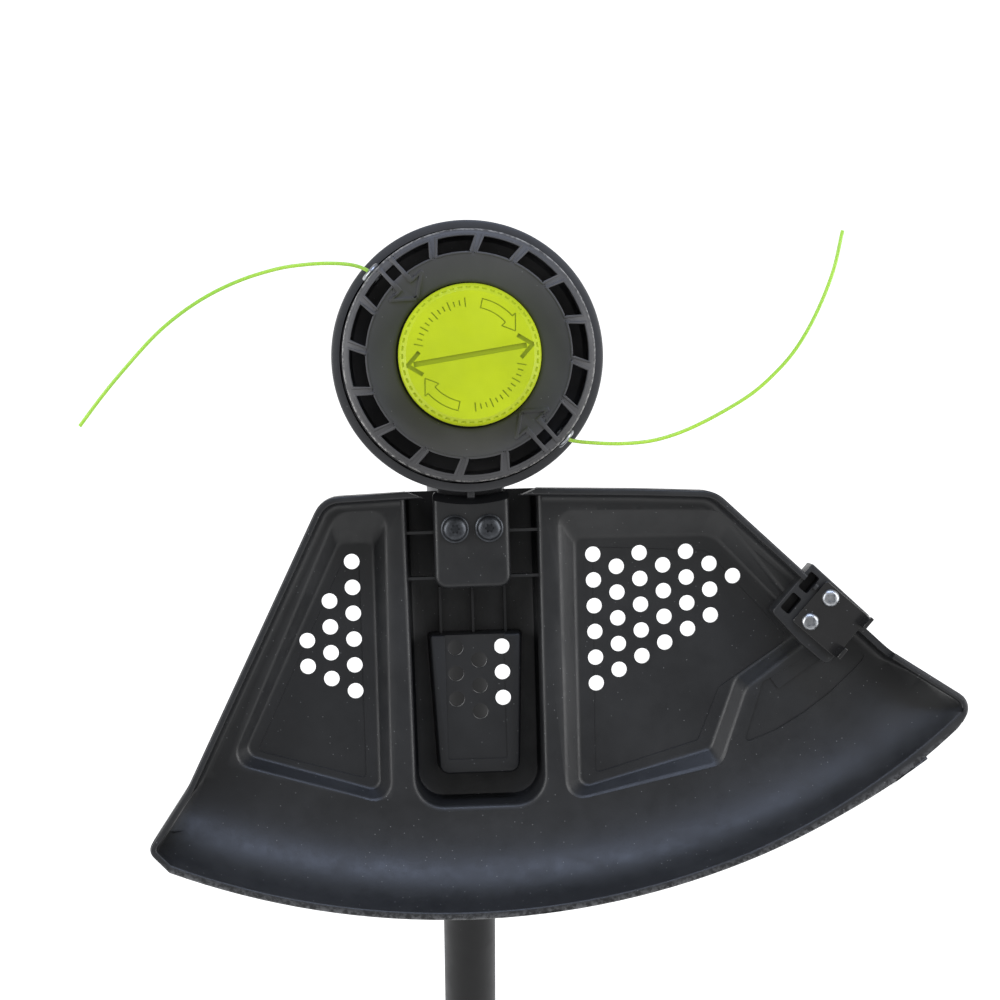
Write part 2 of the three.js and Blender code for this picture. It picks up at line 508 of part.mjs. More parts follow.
function guard() {
  const { land, thickness, wallTop, lipTop, arcRadius, lipWidth, pocketDepth, channelDepth } = GUARD;
  const outline = guardOutline();
  const inside = insetRing(outline, thickness);
  const back = land - thickness;
  const tray = cut(prism(outline, back, lipTop), prism(inside, land, lipTop + 1));
  // The walls stand low beside the motor and rise towards the lip.
  const above = sideSlab([[-40, wallTop], [-95, wallTop], [-212, lipTop], [-260, lipTop], [-260, 30],
    [-40, 30]], 300);
  // The lip curls towards the ground in a band along the arc.
  const start = arcRadius - lipWidth;
  const bends = 6;
  const curl = Array.from({ length: bends + 1 }, (_, i) => {
    const t = i / bends;
    const rise = (1 - Math.sqrt(1 - 0.94 * t * t)) / 0.755; // a quarter of an ellipse, cut short of upright
    return [start + (lipWidth - thickness) * t, land + (lipTop - land) * rise];
  });
  const underside = curl.slice(2).map(([r, z]) => [r + 2.6, z - 2.4]);
  const lipProfile = [[start - 4, back], [start + 8, back], ...underside, [arcRadius, lipTop],
    ...curl.toReversed(), [start - 4, land]];
  const behindProfile = [[start + 8, back], ...underside, [arcRadius + 0.2, lipTop - 1],
    [arcRadius + 20, lipTop - 1], [arcRadius + 20, back - 1], [start + 8, back - 1]];
  const lip = common(aroundArc(lipProfile), prism(outline, back - 1, lipTop + 2));

  const pocketShells = [];
  const pocketHollows = [];
  for (const { rim, floor } of POCKETS) {
    const rimRing = roundedRing(rim, 3);
    const floorRing = roundedRing(floor, 3);
    pocketHollows.push(loft([atHeight(floorRing, land - pocketDepth), atHeight(rimRing, land + 0.5)]));
    pocketShells.push(loft([atHeight(insetRing(floorRing, -2.4), land - pocketDepth - 2.6),
      atHeight(insetRing(rimRing, -1.8), land - 0.5)]));
  }

  const deep = land - channelDepth;
  const channelWall = common(prism(channelRing(CHANNEL.wall), deep - CHANNEL.wall, land),
    prism(rectangleRing(-60, -220, 60, -57.6), -80, land));
  const channel = prism(channelRing(0), deep, 30);
  const panelTop = land - GUARD.panelDepth + 4;
  const panel = prism(panelRing(0), deep - CHANNEL.wall, panelTop);
  const behindPanel = prism(panelRing(CHANNEL.wall), deep - CHANNEL.wall - 1, panelTop - CHANNEL.wall);
  const ribHalf = 0.7;
  const floorRibs = [-14, 0, 14].map((x) =>
    prism(rectangleRing(x - ribHalf, CHANNEL.panelTop - 1, x + ribHalf, PAD.bottom - 1), deep - 1, deep + 6));
  const crossRibs = [-74.5, -94].map((y) =>
    prism(rectangleRing(-28.5, y - ribHalf, 28.5, y + ribHalf), PAD.back, PAD.front - 4));
  const pad = prism(rectangleRing(-PAD.halfWidth, PAD.bottom, PAD.halfWidth, PAD.top, 3),
    PAD.back, PAD.front);
  const boss = common(bladePlace(prism(rectangleRing(-20, -15, 12, 17, 3), back, BLADE.back - GAP)),
    prism(insetRing(outline, -2), back - 1, lipTop));

  const padScrews = both.map((side) =>
    rod(GUARD_SCREW.radius + GAP, -60, 10, 14).translate(side * GUARD_SCREW.x, GUARD_SCREW.y, 0));
  const bladeScrews = both.map((side) => bladePlace(
    rod(BLADE_SCREW.radius + GAP, -21, 0, 10).translate(BLADE.screwAlong, side * BLADE.screwAcross, 0)));
  const bladeWay = bladePlace(prism(rectangleRing(-13.5, -13, 30, 13), BLADE.back - GAP, 20));
  const housingWay = rod(HOUSING.radius + 1.4, -60, 20, 40);

  let shell = cut(join(cut(tray, above), lip), aroundArc(behindProfile));
  shell = cut(join(shell, ...pocketShells, channelWall), ...pocketHollows, channel);
  shell = cut(join(shell, panel), behindPanel);
  shell = join(shell, pad, ...crossRibs, ...floorRibs, boss);
  return cut(shell, ...padScrews, ...bladeScrews, bladeWay, housingWay, ...guardHoles());
}

function cutterBlade() {
  const { length, width, thickness, back, earTop, screwAlong, screwAcross } = BLADE;
  const top = back + thickness;
  const end = length / 2;
  const plate = prism(rectangleRing(-end, -width / 2, end, width / 2, 1.2, 2), back, top);
  const ears = both.map((side) =>
    prism(rectangleRing(end - thickness, side * 8.4 - 2.8, end, side * 8.4 + 2.8), back, earTop));
  const holes = both.map((side) =>
    rod(BLADE_SCREW.radius + GAP, back - 1, top + 1, 12).translate(screwAlong, side * screwAcross, 0));
  return toSolid(bladePlace(toGeometry(cut(join(plate, ...ears), ...holes))));
}

// A pan-head screw whose head rests at z = 0 and whose shank runs to -z, with a six-lobe recess.
function panScrew({ headRadius, headHeight, radius, length }) {
  const body = turned([[0, -length], [radius - 0.6, -length], [radius, -length + 1], [radius, GAP],
    [headRadius, GAP], [headRadius, headHeight * 0.45], [headRadius * 0.72, headHeight * 0.9],
    [0, headHeight]], 12);
  return cut(body, prism(circleRing(0, 0, headRadius * 0.36, 6), headHeight * 0.35, headHeight + 1));
}

// ---------- shaft and front handle, in the row's frame ----------
const shaftTube = () => ringBetween(SHAFT.radius - SHAFT.wall, SHAFT.radius, SHAFT.bottom, SHAFT.top, 28);

function motorCable() {
  const fromHead = CABLE_IN_HEAD.map(toRow);
  const topOfRun = fromHead.at(-1)[2] + 0.5;
  return join(tube(curveThrough(fromHead), CABLE_RADIUS, 10, 8),
    rod(CABLE_RADIUS, SHAFT.bottom - 2, topOfRun, 8),
    tube(curveThrough(CABLE_IN_HANDLE), CABLE_RADIUS, 18, 8));
}

const seatRadius = SHAFT.radius + GAP;
const boltHoles = (low, high, radius) => both.map((side) =>
  rodY(radius, low, high, 12).translate(side * CLAMP_BOLT.x, 0, 0));

function frontHandleLoop() {
  const { halfWidth, height, tubeRadius, z, lean, baseHalf, baseReach, splitGap, lengthHalf } = FRONT_HANDLE;
  const side = halfWidth - tubeRadius;
  const top = height - tubeRadius;
  const half = [[22, 14, 0], [40, 24, 0], [side - 2, 46, 0], [side, 78, 0], [side - 16, top - 8, 0],
    [20, top, 0]];
  const path = [...half.map(([x, y, up]) => [-x, y, up]), ...half.toReversed()];
  const arch = tube(curveThrough(path), tubeRadius, 24, 10)
    .translate(0, -12, 0).rotateX(lean).translate(0, 12, 0);
  const base = prism(rectangleRing(-baseHalf, splitGap, baseHalf, baseReach, 5), -lengthHalf, lengthHalf);
  return cut(join(arch, base), rod(seatRadius, -30, 30, 24), ...boltHoles(-5, 40, CLAMP_BOLT.radius + GAP),
    ...boltHoles(baseReach, 50, CLAMP_BOLT.headRadius + 0.6)).translate([0, 0, z]);
}

function frontHandleClamp() {
  const { baseHalf, clampReach, splitGap, lengthHalf, z } = FRONT_HANDLE;
  const block = prism(rectangleRing(-baseHalf, -clampReach, baseHalf, -splitGap, 5), -lengthHalf, lengthHalf);
  return cut(block, rod(seatRadius, -30, 30, 24), ...boltHoles(-40, 5, CLAMP_BOLT.radius + GAP))
    .translate([0, 0, z]);
}

// A bolt along y: its head on top of the handle's base, its shank through both halves.
function clampBolt(side, end) {
  const { x, radius, headRadius, headTop } = CLAMP_BOLT;
  const seat = FRONT_HANDLE.baseReach + GAP;
  return turned([[0, end], [radius, end], [radius, seat], [headRadius, seat], [headRadius, headTop - 1],
    [headRadius - 1.2, headTop], [0, headTop]], 14)
    .rotateX(-Math.PI / 2).translate(side * x, 0, FRONT_HANDLE.z);
}

function clampKnob() {
  const { radius, lobeRadius, lobes, near, far } = CLAMP_KNOB;
  const arms = Array.from({ length: lobes }, (_, i) => {
    const a = (2 * Math.PI * i) / lobes;
    return rod(lobeRadius, far, near - 0.6, 10).translate(11 * Math.cos(a), 11 * Math.sin(a), 0);
  });
  const body = cut(join(rod(radius, far, near, 24), ...arms), rod(CLAMP_BOLT.radius + GAP, far + 2, -20, 12));
  return toSolid(toGeometry(body).rotateX(-Math.PI / 2).translate(CLAMP_BOLT.x, 0, FRONT_HANDLE.z));
}

// ---------- strap ring ----------
function strapBracket() {
  const band = ringBetween(SHAFT.radius + GAP, SHAFT.radius + 3.4, -9, 9, 28);
  const lug = prism(rectangleRing(-4, SHAFT.radius + 1, 4, STRAP.lugY + 7, 2), -8, 8);
  const eye = rodX(STRAP.ringWire + 0.6, -10, 10, 14).translate(0, STRAP.lugY, 0);
  return cut(join(band, cut(lug, rod(SHAFT.radius + 1, -20, 20, 28))), eye).translate([0, 0, STRAP.z]);
}

function strapRing() {
  const { ringHalfWidth: w, ringDrop: d, lugY, z } = STRAP;
  const half = [[w - 5, 0, 0], [w, 0, -5], [w - 2, 0, -d + 7], [w - 8, 0, -d]];
  const otherHalf = half.toReversed().map(([x, y, up]) => [-x, y, up]);
  const path = curveThrough([[0, 0, 0], ...half, [0, 0, -d - 1], ...otherHalf], true);
  return tube(path, STRAP.ringWire, 30, 6).translate(0, lugY, z);
}

// ---------- rear handle: one lofted body, split down its middle plane into two shells ----------
// [z, centre y, half width x, half width y, squareness]
const REAR_SECTIONS = [[REAR.top, 0, 19, 19, 2], [-530, 0, 20, 21, 2], [-548, 0, 19.5, 24, 2.2],
  [-565, 0, 19, 26, 2.3], [-582, 1, 18, 25, 2.3], [-600, 1, 18, 20, 2.3], [-640, 2, 18.5, 19, 2.3],
  [REAR.gripEnd, 2, 20, 21, 2.4], [-708, 1, 32, 35, 3], [-730, 0, 43, 48, 4.5], [-758, 0, 45, 50, 6],
  [REAR.bottom, 0, 45.5, 50.5, 6]];

function superRing([z, centreY, halfX, halfY, power], shrink = 0, count = 20) {
  return Array.from({ length: count }, (_, i) => {
    const a = (2 * Math.PI * i) / count;
    const c = Math.cos(a);
    const s = Math.sin(a);
    const x = Math.sign(c) * Math.abs(c) ** (2 / power) * (halfX - shrink);
    const y = Math.sign(s) * Math.abs(s) ** (2 / power) * (halfY - shrink);
    return new THREE.Vector3(x, centreY + y, z);
  });
}

const rearLoft = (shrink, from, to) =>
  loft(REAR_SECTIONS.slice(from, to).map((section) => superRing(section, shrink)).reverse());

const handleScrewPlaces = [[12, -540], [-10, -655], [12, -668]];
const HANDLE_SCREW = { seat: 17.5, bossRadius: 4.2, headRadius: 3.2, radius: 1.5 };

function rearHandleHalf(side) {
  const { halfX, halfY } = BATTERY;
  const { seat, bossRadius, headRadius, radius } = HANDLE_SCREW;
  const outer = rearLoft(0, 0, REAR_SECTIONS.length);
  const hollow = rearLoft(REAR.wall, 2, REAR_SECTIONS.length - 1);
  const shaftSeat = rod(SHAFT.radius + GAP, SHAFT.bottom - 0.5, REAR.top + 10, 24);
  const seatToGrip = rod(11, -570, -510, 20);
  const dock = prism(rectangleRing(-halfX - 1, -halfY - 1, halfX + 1, halfY + 1, 6),
    REAR.bottom - 5, BATTERY.top + 1.5);
  const terminalWay = prism(rectangleRing(-12 - GAP, -6 - GAP, 12 + GAP, 6 + GAP), -770, -750);
  const triggerHalf = TRIGGER.halfWidth + 0.7;
  const triggerSlot = prism(rectangleRing(-triggerHalf, -45, triggerHalf, -10), -609, -549);
  const lockHalf = LOCK_OFF.halfWidth + 0.7;
  const lockSlot = prism(rectangleRing(-lockHalf, 10, lockHalf, 40), -645, -593);
  const latchHalf = RELEASE_BUTTON.halfWidth + 0.6;
  const latchSlot = prism(rectangleRing(-latchHalf, 40, latchHalf, 60), RELEASE_BUTTON.low - 0.6,
    RELEASE_BUTTON.high + 0.6);
  const shell = cut(outer, hollow, shaftSeat, seatToGrip, dock, terminalWay, triggerSlot, lockSlot,
    latchSlot);

  const bosses = handleScrewPlaces.map(([y, z]) => (side > 0
    ? rodX(bossRadius, 2, seat, 10) : rodX(bossRadius, -seat, -2, 10)).translate(0, y, z));
  const holes = handleScrewPlaces.flatMap(([y, z]) => [rodX(radius + 0.4, -60, 60, 8),
    rodX(headRadius + 0.5, -60, -seat, 12)].map((hole) => hole.translate(0, y, z)));
  const near = GAP / 2; // the two shells part on the middle plane
  const half = prism(rectangleRing(side > 0 ? near : -60, -70, side > 0 ? 60 : -near, 70),
    REAR.bottom - 10, REAR.top + 10);
  return common(cut(join(shell, ...bosses), ...holes), half);
}

function handleScrew([y, z]) {
  const { seat, headRadius, radius } = HANDLE_SCREW;
  return turned([[0, -12], [radius, -12], [radius, seat + GAP], [headRadius, seat + GAP],
    [headRadius, seat + 1.9], [0, seat + 2.7]], 12).rotateY(-Math.PI / 2).translate(0, y, z);
}

function trigger() {
  const { pivotY: y, pivotZ: z, halfWidth } = TRIGGER;
  const body = sideSlab([[y + 5, z + 6, 4], [-21, z + 6, 3], [-26, z - 6, 6], [-27, z - 22, 14],
    [-33, z - 38, 2], [-24, z - 38, 3], [-14, z - 20, 8], [y + 5, z - 6, 4]], halfWidth);
  return cut(body, rodX(2.4, -20, 20, 12).translate(0, y, z));
}

function lockOffLever() {
  const { pivotY: y, pivotZ: z, halfWidth } = LOCK_OFF;
  const body = sideSlab([[y + 4, z - 4.2, 2], [y + 5, z + 4, 2], [24, z + 14, 6], [28.5, z + 36, 6],
    [24, z + 45, 3], [17, z + 45, 2], [16, z + 14, 4], [y - 4, z + 4, 2], [y - 4, z - 4, 2]], halfWidth);
  return cut(body, rodX(2.1, -20, 20, 12).translate(0, y, z));
}

const PIN_HALF_LENGTH = 11;
const pin = (radius, { pivotY, pivotZ }) =>
  rodX(radius, -PIN_HALF_LENGTH, PIN_HALF_LENGTH, 12).translate(0, pivotY, pivotZ);

const triggerSwitch = () => prism(rectangleRing(-6, -8, 6, 6, 1), -622, -604);
const controllerBoard = () => prism(rectangleRing(-26, -30, 26, 30, 2), -742, -738.5);
const batteryTerminals = () => join(prism(rectangleRing(-12, -6, 12, 6), BATTERY.top + GAP, -758.2),
  ...both.map((side) => prism(rectangleRing(side * 8 - 2, -1, side * 8 + 2, 1), BATTERY.top - 8, -765)));

function releaseButton() {
  const { halfWidth, inner, outer, low, high } = RELEASE_BUTTON;
  return prism(rectangleRing(-halfWidth, inner, halfWidth, outer, 1.5), low, high);
}

// ---------- battery ----------
function batteryHousing() {
  const { halfX, halfY, top, bottom, wall } = BATTERY;
  const ring = (shrink, radius = 7) =>
    rectangleRing(-halfX + shrink, -halfY + shrink, halfX - shrink, halfY - shrink, radius, 4);
  const shell = loft([atHeight(ring(4), bottom), atHeight(ring(0), bottom + 4), atHeight(ring(0), top - 1),
    atHeight(ring(1), top)]);
  const hollow = prism(ring(wall, 4), bottom + 4, top - 4);
  const mouth = prism(rectangleRing(-14, -8, 14, 8), top - 10, top + 2); // where the terminals reach in
  const buttonHalf = CHARGE_BUTTON.halfWidth + 0.5;
  const buttonHole = prism(rectangleRing(-buttonHalf, -halfY - 5, buttonHalf, -halfY + 5),
    bottom + CHARGE_BUTTON.low - 0.5, bottom + CHARGE_BUTTON.high + 0.5);
  const latchNotch = prism(rectangleRing(-10, halfY - 1.6, 10, halfY + 5), -808, -798);
  return cut(shell, hollow, mouth, buttonHole, latchNotch);
}

function cellPack() {
  const { radius, pitch, low, high } = CELL;
  const columns = [-pitch, 0, pitch];
  const rows = columns.map((y) => (y * 21) / pitch);
  const cells = columns.flatMap((x) => rows.map((y) =>
    prism(circleRing(x, y, radius, 10), BATTERY.bottom + low, BATTERY.bottom + high)));
  const holder = prism(rectangleRing(-32, -33, 32, 33, 3), BATTERY.bottom + 60, BATTERY.bottom + 74);
  return join(holder, ...cells);
}

function chargeButton() {
  const { halfWidth, low, high } = CHARGE_BUTTON;
  return prism(rectangleRing(-halfWidth, -BATTERY.halfY - 0.6, halfWidth, -BATTERY.halfY + 4, 1),
    BATTERY.bottom + low, BATTERY.bottom + high);
}

// ---------- assembly: nodes in the head's frame ----------
add(inHead, "head_cover", headCover(), materials.headPlastic);
add(inHead, "head_case", headCase(), materials.headPlastic);
add(inHead, "line_eyelet_1", eyelet(0), materials.steel);
add(inHead, "line_eyelet_2", eyelet(Math.PI), materials.steel);
add(inHead, "spindle_nut", spindleNut(), materials.steel);
add(inHead, "feed_sleeve", feedSleeve(), materials.headPlastic);
add(inHead, "bump_spring", bumpSpring(), materials.steel);
add(inHead, "spool", spool(), materials.guardPlastic);
add(inHead, "wound_line", woundLine(), materials.line);
add(inHead, "bump_knob", bumpKnob(), materials.green);
for (const [name, points] of Object.entries(LINE_ENDS))
  add(inHead, name, tube(curveThrough(points), LINE_RADIUS, 26, 8), materials.line);

add(inHead, "motor_housing", motorHousing(), materials.housingPlastic);
add(inHead, "motor_base_plate", motorBasePlate(), materials.housingPlastic);
basePlateScrewPlaces.forEach((place, i) =>
  add(inHead, `base_plate_screw_${i + 1}`, basePlateScrew(place), materials.steel));
add(inHead, "motor_mount", motorMount(), materials.laminations);
add(inHead, "stator_core", statorCore(), materials.laminations);
add(inHead, "stator_windings", statorWindings(), materials.copper);
add(inHead, "rotor_bell", rotorBell(), materials.steel);
add(inHead, "rotor_magnets", rotorMagnets(), materials.magnet);
add(inHead, "spindle", spindle(), materials.steel);
add(inHead, "front_bearing", bearing(BEARING.front), materials.steel);
add(inHead, "rear_bearing", bearing(BEARING.rear), materials.steel);

add(inHead, "guard", guard(), materials.guardPlastic);
add(inHead, "line_cutter_blade", cutterBlade(), materials.blackSteel);
both.forEach((side, i) => {
  const guardScrew = toGeometry(panScrew(GUARD_SCREW))
    .translate(side * GUARD_SCREW.x, GUARD_SCREW.y, PAD.front);
  add(inHead, `guard_screw_${i + 1}`, guardScrew, materials.blackSteel);
  const bladeScrew = bladePlace(toGeometry(panScrew(BLADE_SCREW))
    .translate(BLADE.screwAlong, side * BLADE.screwAcross, BLADE.back + BLADE.thickness));
  add(inHead, `blade_screw_${i + 1}`, bladeScrew, materials.steel);
});

// ---------- assembly: nodes in the row's frame ----------
add(inRow, "shaft_tube", shaftTube(), materials.shaftPaint);
add(inRow, "motor_cable", motorCable(), materials.cable);
add(inRow, "front_handle_loop", frontHandleLoop(), materials.grip);
add(inRow, "front_handle_clamp", frontHandleClamp(), materials.housingPlastic);
add(inRow, "clamp_bolt_1", clampBolt(1, -31.5), materials.steel);
add(inRow, "clamp_bolt_2", clampBolt(-1, -20), materials.steel);
add(inRow, "clamp_knob", clampKnob(), materials.housingPlastic);
add(inRow, "strap_bracket", strapBracket(), materials.housingPlastic);
add(inRow, "strap_ring", strapRing(), materials.steel);

add(inRow, "rear_handle_left", rearHandleHalf(-1), materials.housingPlastic);
add(inRow, "rear_handle_right", rearHandleHalf(1), materials.housingPlastic);
handleScrewPlaces.forEach((place, i) =>
  add(inRow, `handle_screw_${i + 1}`, handleScrew(place), materials.steel));
add(inRow, "trigger", trigger(), materials.green);
add(inRow, "trigger_pin", pin(2, TRIGGER), materials.steel);
add(inRow, "lock_off_lever", lockOffLever(), materials.green);
add(inRow, "lock_off_pin", pin(1.7, LOCK_OFF), materials.steel);
add(inRow, "trigger_switch", triggerSwitch(), materials.cable);
add(inRow, "controller_board", controllerBoard(), materials.board);
add(inRow, "battery_terminals", batteryTerminals(), materials.copper);
add(inRow, "release_button", releaseButton(), materials.green);

add(inRow, "battery_housing", batteryHousing(), materials.housingPlastic);
add(inRow, "battery_cells", cellPack(), materials.cell);
add(inRow, "charge_button", chargeButton(), materials.green);

// The head's frame tips forward from the shaft, about the point where the two axes meet.
inHead.rotation.x = Math.PI / 2 - SHAFT_TO_HEAD_PLANE;
inHead.position.set(0, -SPIN_MEETS_SHAFT_DEPTH * Math.cos(SHAFT_TO_HEAD_PLANE),
  SPIN_MEETS_SHAFT_Z + SPIN_MEETS_SHAFT_DEPTH * Math.sin(SHAFT_TO_HEAD_PLANE));

const trimmer = new THREE.Group();
trimmer.add(inHead, inRow);
export default trimmer;
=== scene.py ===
# A battery string trimmer: cutting head, guard, shaft, handles and battery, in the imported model's frame.
import json
import math
import bpy
import bmesh
from mathutils import Matrix, Vector


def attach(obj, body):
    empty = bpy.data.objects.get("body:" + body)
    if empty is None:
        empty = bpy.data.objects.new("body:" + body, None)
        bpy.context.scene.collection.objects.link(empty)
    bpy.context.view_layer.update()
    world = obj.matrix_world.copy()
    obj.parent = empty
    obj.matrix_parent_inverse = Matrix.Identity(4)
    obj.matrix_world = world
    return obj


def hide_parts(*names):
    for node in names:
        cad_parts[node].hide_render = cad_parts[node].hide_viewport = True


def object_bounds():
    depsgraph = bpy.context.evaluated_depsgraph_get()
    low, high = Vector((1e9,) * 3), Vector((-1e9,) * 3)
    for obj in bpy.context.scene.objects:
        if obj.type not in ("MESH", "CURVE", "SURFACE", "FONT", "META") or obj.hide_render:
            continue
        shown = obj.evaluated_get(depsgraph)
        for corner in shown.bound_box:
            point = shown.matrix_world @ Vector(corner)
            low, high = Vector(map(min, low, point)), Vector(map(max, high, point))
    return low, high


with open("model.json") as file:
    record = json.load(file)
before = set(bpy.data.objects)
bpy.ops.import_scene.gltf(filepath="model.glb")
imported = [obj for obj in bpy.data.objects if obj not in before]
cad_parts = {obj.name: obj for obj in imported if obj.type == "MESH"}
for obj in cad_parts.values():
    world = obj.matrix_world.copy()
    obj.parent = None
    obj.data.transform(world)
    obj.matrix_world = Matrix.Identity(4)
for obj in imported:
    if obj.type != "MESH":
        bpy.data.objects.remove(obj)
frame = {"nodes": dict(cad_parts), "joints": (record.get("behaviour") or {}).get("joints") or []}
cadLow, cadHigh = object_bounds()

# Pieces are drawn in millimetres, in the head's own frame or in the row's, and placed when they are done.
# The head's frame: x to the side, y away from the user, z out of the knob, z = 0 where the lines leave.
spinJoint = next(joint for joint in frame["joints"] if joint["name"] == "head_spin")
headOrigin = Vector(spinJoint["pos_m"])
headTurn = Vector((0, 0, 1)).rotation_difference(Vector(spinJoint["axis"]))
millimetre = 0.001
inRow = Matrix.Scale(millimetre, 4)
inHead = Matrix.Translation(headOrigin) @ headTurn.to_matrix().to_4x4() @ inRow


# Camera: in front of the head, looking up its spin axis from a little to one side.
view = {"eye": (-37, -18.5, 1254.9), "target": (11.5, -60.7, 0), "roll": 1.64, "lens": 108.1}


def aimCamera():
    eye, target = Vector(view["eye"]), Vector(view["target"])
    roll = math.radians(view["roll"])
    back = (eye - target).normalized()
    right = Vector((math.sin(roll), math.cos(roll), 0)).cross(back).normalized()
    up = back.cross(right)
    bpy.ops.object.camera_add(location=inHead @ eye)
    camera = bpy.context.object
    camera.rotation_mode = "QUATERNION"
    camera.rotation_quaternion = headTurn @ Matrix((right, up, back)).transposed().to_quaternion()
    camera.data.lens = view["lens"]
    camera.data.sensor_width = 36
    camera.data.clip_end = 50
    bpy.context.scene.camera = camera


def deselectAll():
    if bpy.context.object and bpy.context.object.mode != "OBJECT":
        bpy.ops.object.mode_set(mode="OBJECT")
    bpy.ops.object.select_all(action="DESELECT")


deselectAll()
aimCamera()
print("camera placed")


# The two free ends of the cutting line.
# Each comes straight out of its eyelet and bends back the way that it was wound on the spool.
lineValues = {
    "diameter": 1.6,
    "perSpan": 8,
    "cutting_line_1": [(-37.5, 33.8, 0), (-41.2, 36.7, 0), (-45.6, 38.6, 0.1), (-51, 39.6, 0.3),
                       (-60, 40, 0.5),
                       (-68, 39.6, 0.8), (-77, 38.5, 1.1), (-93.6, 34, 1.3), (-110.4, 26.3, 1.4),
                       (-127.3, 14.4, 1.3), (-144.6, -3.3, 1.1), (-153.2, -13.2, 0.9),
                       (-162.4, -24.8, 0.6)],
    "cutting_line_2": [(37.5, -33.8, 0), (41.2, -36.3, 0), (45.6, -37.3, 0.1), (51, -37.9, 0.3),
                       (59, -38.5, 0.5),
                       (67.5, -38.5, 0.8), (76, -37.7, 1.1), (84.4, -35.7, 1.2), (93, -32.6, 1.3),
                       (106, -26.4, 1.4), (118.6, -19, 1.4), (127.2, -11.9, 1.3), (136, -2.7, 1.1),
                       (144.8, 10.8, 0.9), (153.7, 30.6, 0.7), (158.3, 48, 0.5)],
}


def smoothThrough(points, perSpan, closed=False):
    # centripetal Catmull-Rom through the points, the way that the frame's own curves run
    points = [Vector(point) for point in points]
    if closed:
        ring = [points[-1], *points, points[0], points[1]]
    else:
        ring = [2 * points[0] - points[1], *points, 2 * points[-1] - points[-2]]
    path = []
    for a, b, c, d in zip(ring, ring[1:], ring[2:], ring[3:]):
        t1 = (b - a).length ** 0.5
        t2 = t1 + (c - b).length ** 0.5
        t3 = t2 + (d - c).length ** 0.5
        for step in range(perSpan):
            t = t1 + (t2 - t1) * step / perSpan
            ab = a * ((t1 - t) / t1) + b * (t / t1)
            bc = b * ((t2 - t) / (t2 - t1)) + c * ((t - t1) / (t2 - t1))
            cd = c * ((t3 - t) / (t3 - t2)) + d * ((t - t2) / (t3 - t2))
            abc = ab * ((t2 - t) / t2) + bc * (t / t2)
            bcd = bc * ((t3 - t) / (t3 - t1)) + cd * ((t - t1) / (t3 - t1))
            path.append(abc * ((t2 - t) / (t2 - t1)) + bcd * ((t - t1) / (t2 - t1)))
    return path if closed else [*path, points[-1]]


def lengthOf(path):
    return sum((after - before).length for before, after in zip(path, path[1:]))


def layLine(name):
    path = [inHead @ point for point in smoothThrough(lineValues[name], lineValues["perSpan"])]
    curve = bpy.data.curves.new(name + "_nylon", "CURVE")
    curve.dimensions = "3D"
    spline = curve.splines.new("POLY")
    spline.points.add(len(path) - 1)
    for point, place in zip(spline.points, path):
        point.co = (*place, 1)
        point.radius = lineValues["diameter"] / 2 * millimetre
    curve.bevel_depth = 1
    curve.bevel_resolution = 4
    curve.use_fill_caps = True
    line = bpy.data.objects.new(name + "_nylon", curve)
    bpy.context.scene.collection.objects.link(line)
    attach(line, "cutting_head")
    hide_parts(name)
    return line


cuttingLines = [layLine("cutting_line_1"), layLine("cutting_line_2")]
print("cutting lines laid")


# Floor, world and lights.
studio = {"floorSize": 60, "floorDrop": 0.004, "worldColour": "#FFFFFF", "worldStrength": 0.42}
# Softboxes in the head's frame: place in mm, width and height in m, watts, colour.
softboxes = {
    "boxLeft": ((-1150, 150, 620), (0.7, 1.3), 13, "#FFFFFF"),
    "boxRight": ((1150, 100, 620), (0.7, 1.3), 12, "#FFFFFF"),
    "boxTop": ((100, 1350, 800), (1.6, 0.5), 15, "#C9DAFF"),
}


def linear(hexColour):
    channels = [int(hexColour[i:i + 2], 16) / 255 for i in (1, 3, 5)]
    return tuple(c / 12.92 if c <= 0.04045 else ((c + 0.055) / 1.055) ** 2.4 for c in channels) + (1,)


def hangLights():
    for name, (place, size, watts, colour) in softboxes.items():
        bpy.ops.object.light_add(type="AREA", location=inHead @ Vector(place))
        lamp = bpy.context.object
        lamp.name = name
        lamp.data.shape = "RECTANGLE"
        lamp.data.size, lamp.data.size_y = size
        lamp.data.energy = watts
        lamp.data.color = linear(colour)[:3]
        towards = inHead @ Vector((10, -60, 0)) - lamp.location
        lamp.rotation_euler = towards.to_track_quat("-Z", "Y").to_euler()
    world = bpy.data.worlds.new("softStudio")
    world.use_nodes = True
    background = world.node_tree.nodes["Background"]
    background.inputs["Color"].default_value = linear(studio["worldColour"])
    background.inputs["Strength"].default_value = studio["worldStrength"]
    bpy.context.scene.world = world
    bpy.context.scene.view_settings.view_transform = "Standard"


hangLights()


# Materials: each is built from real sizes in millimetres by one function.
def addNode(tree, kind, settings=None, links=None, output=0):
    # a setting goes to the input of that name or number, or else to the property of that name
    node = tree.nodes.new(kind)
    for name, value in (settings or {}).items():
        if isinstance(name, int) or name in node.inputs:
            node.inputs[name].default_value = value
        else:
            setattr(node, name, value)
    for name, source in (links or {}).items():
        tree.links.new(source, node.inputs[name])
    return node.outputs[output]


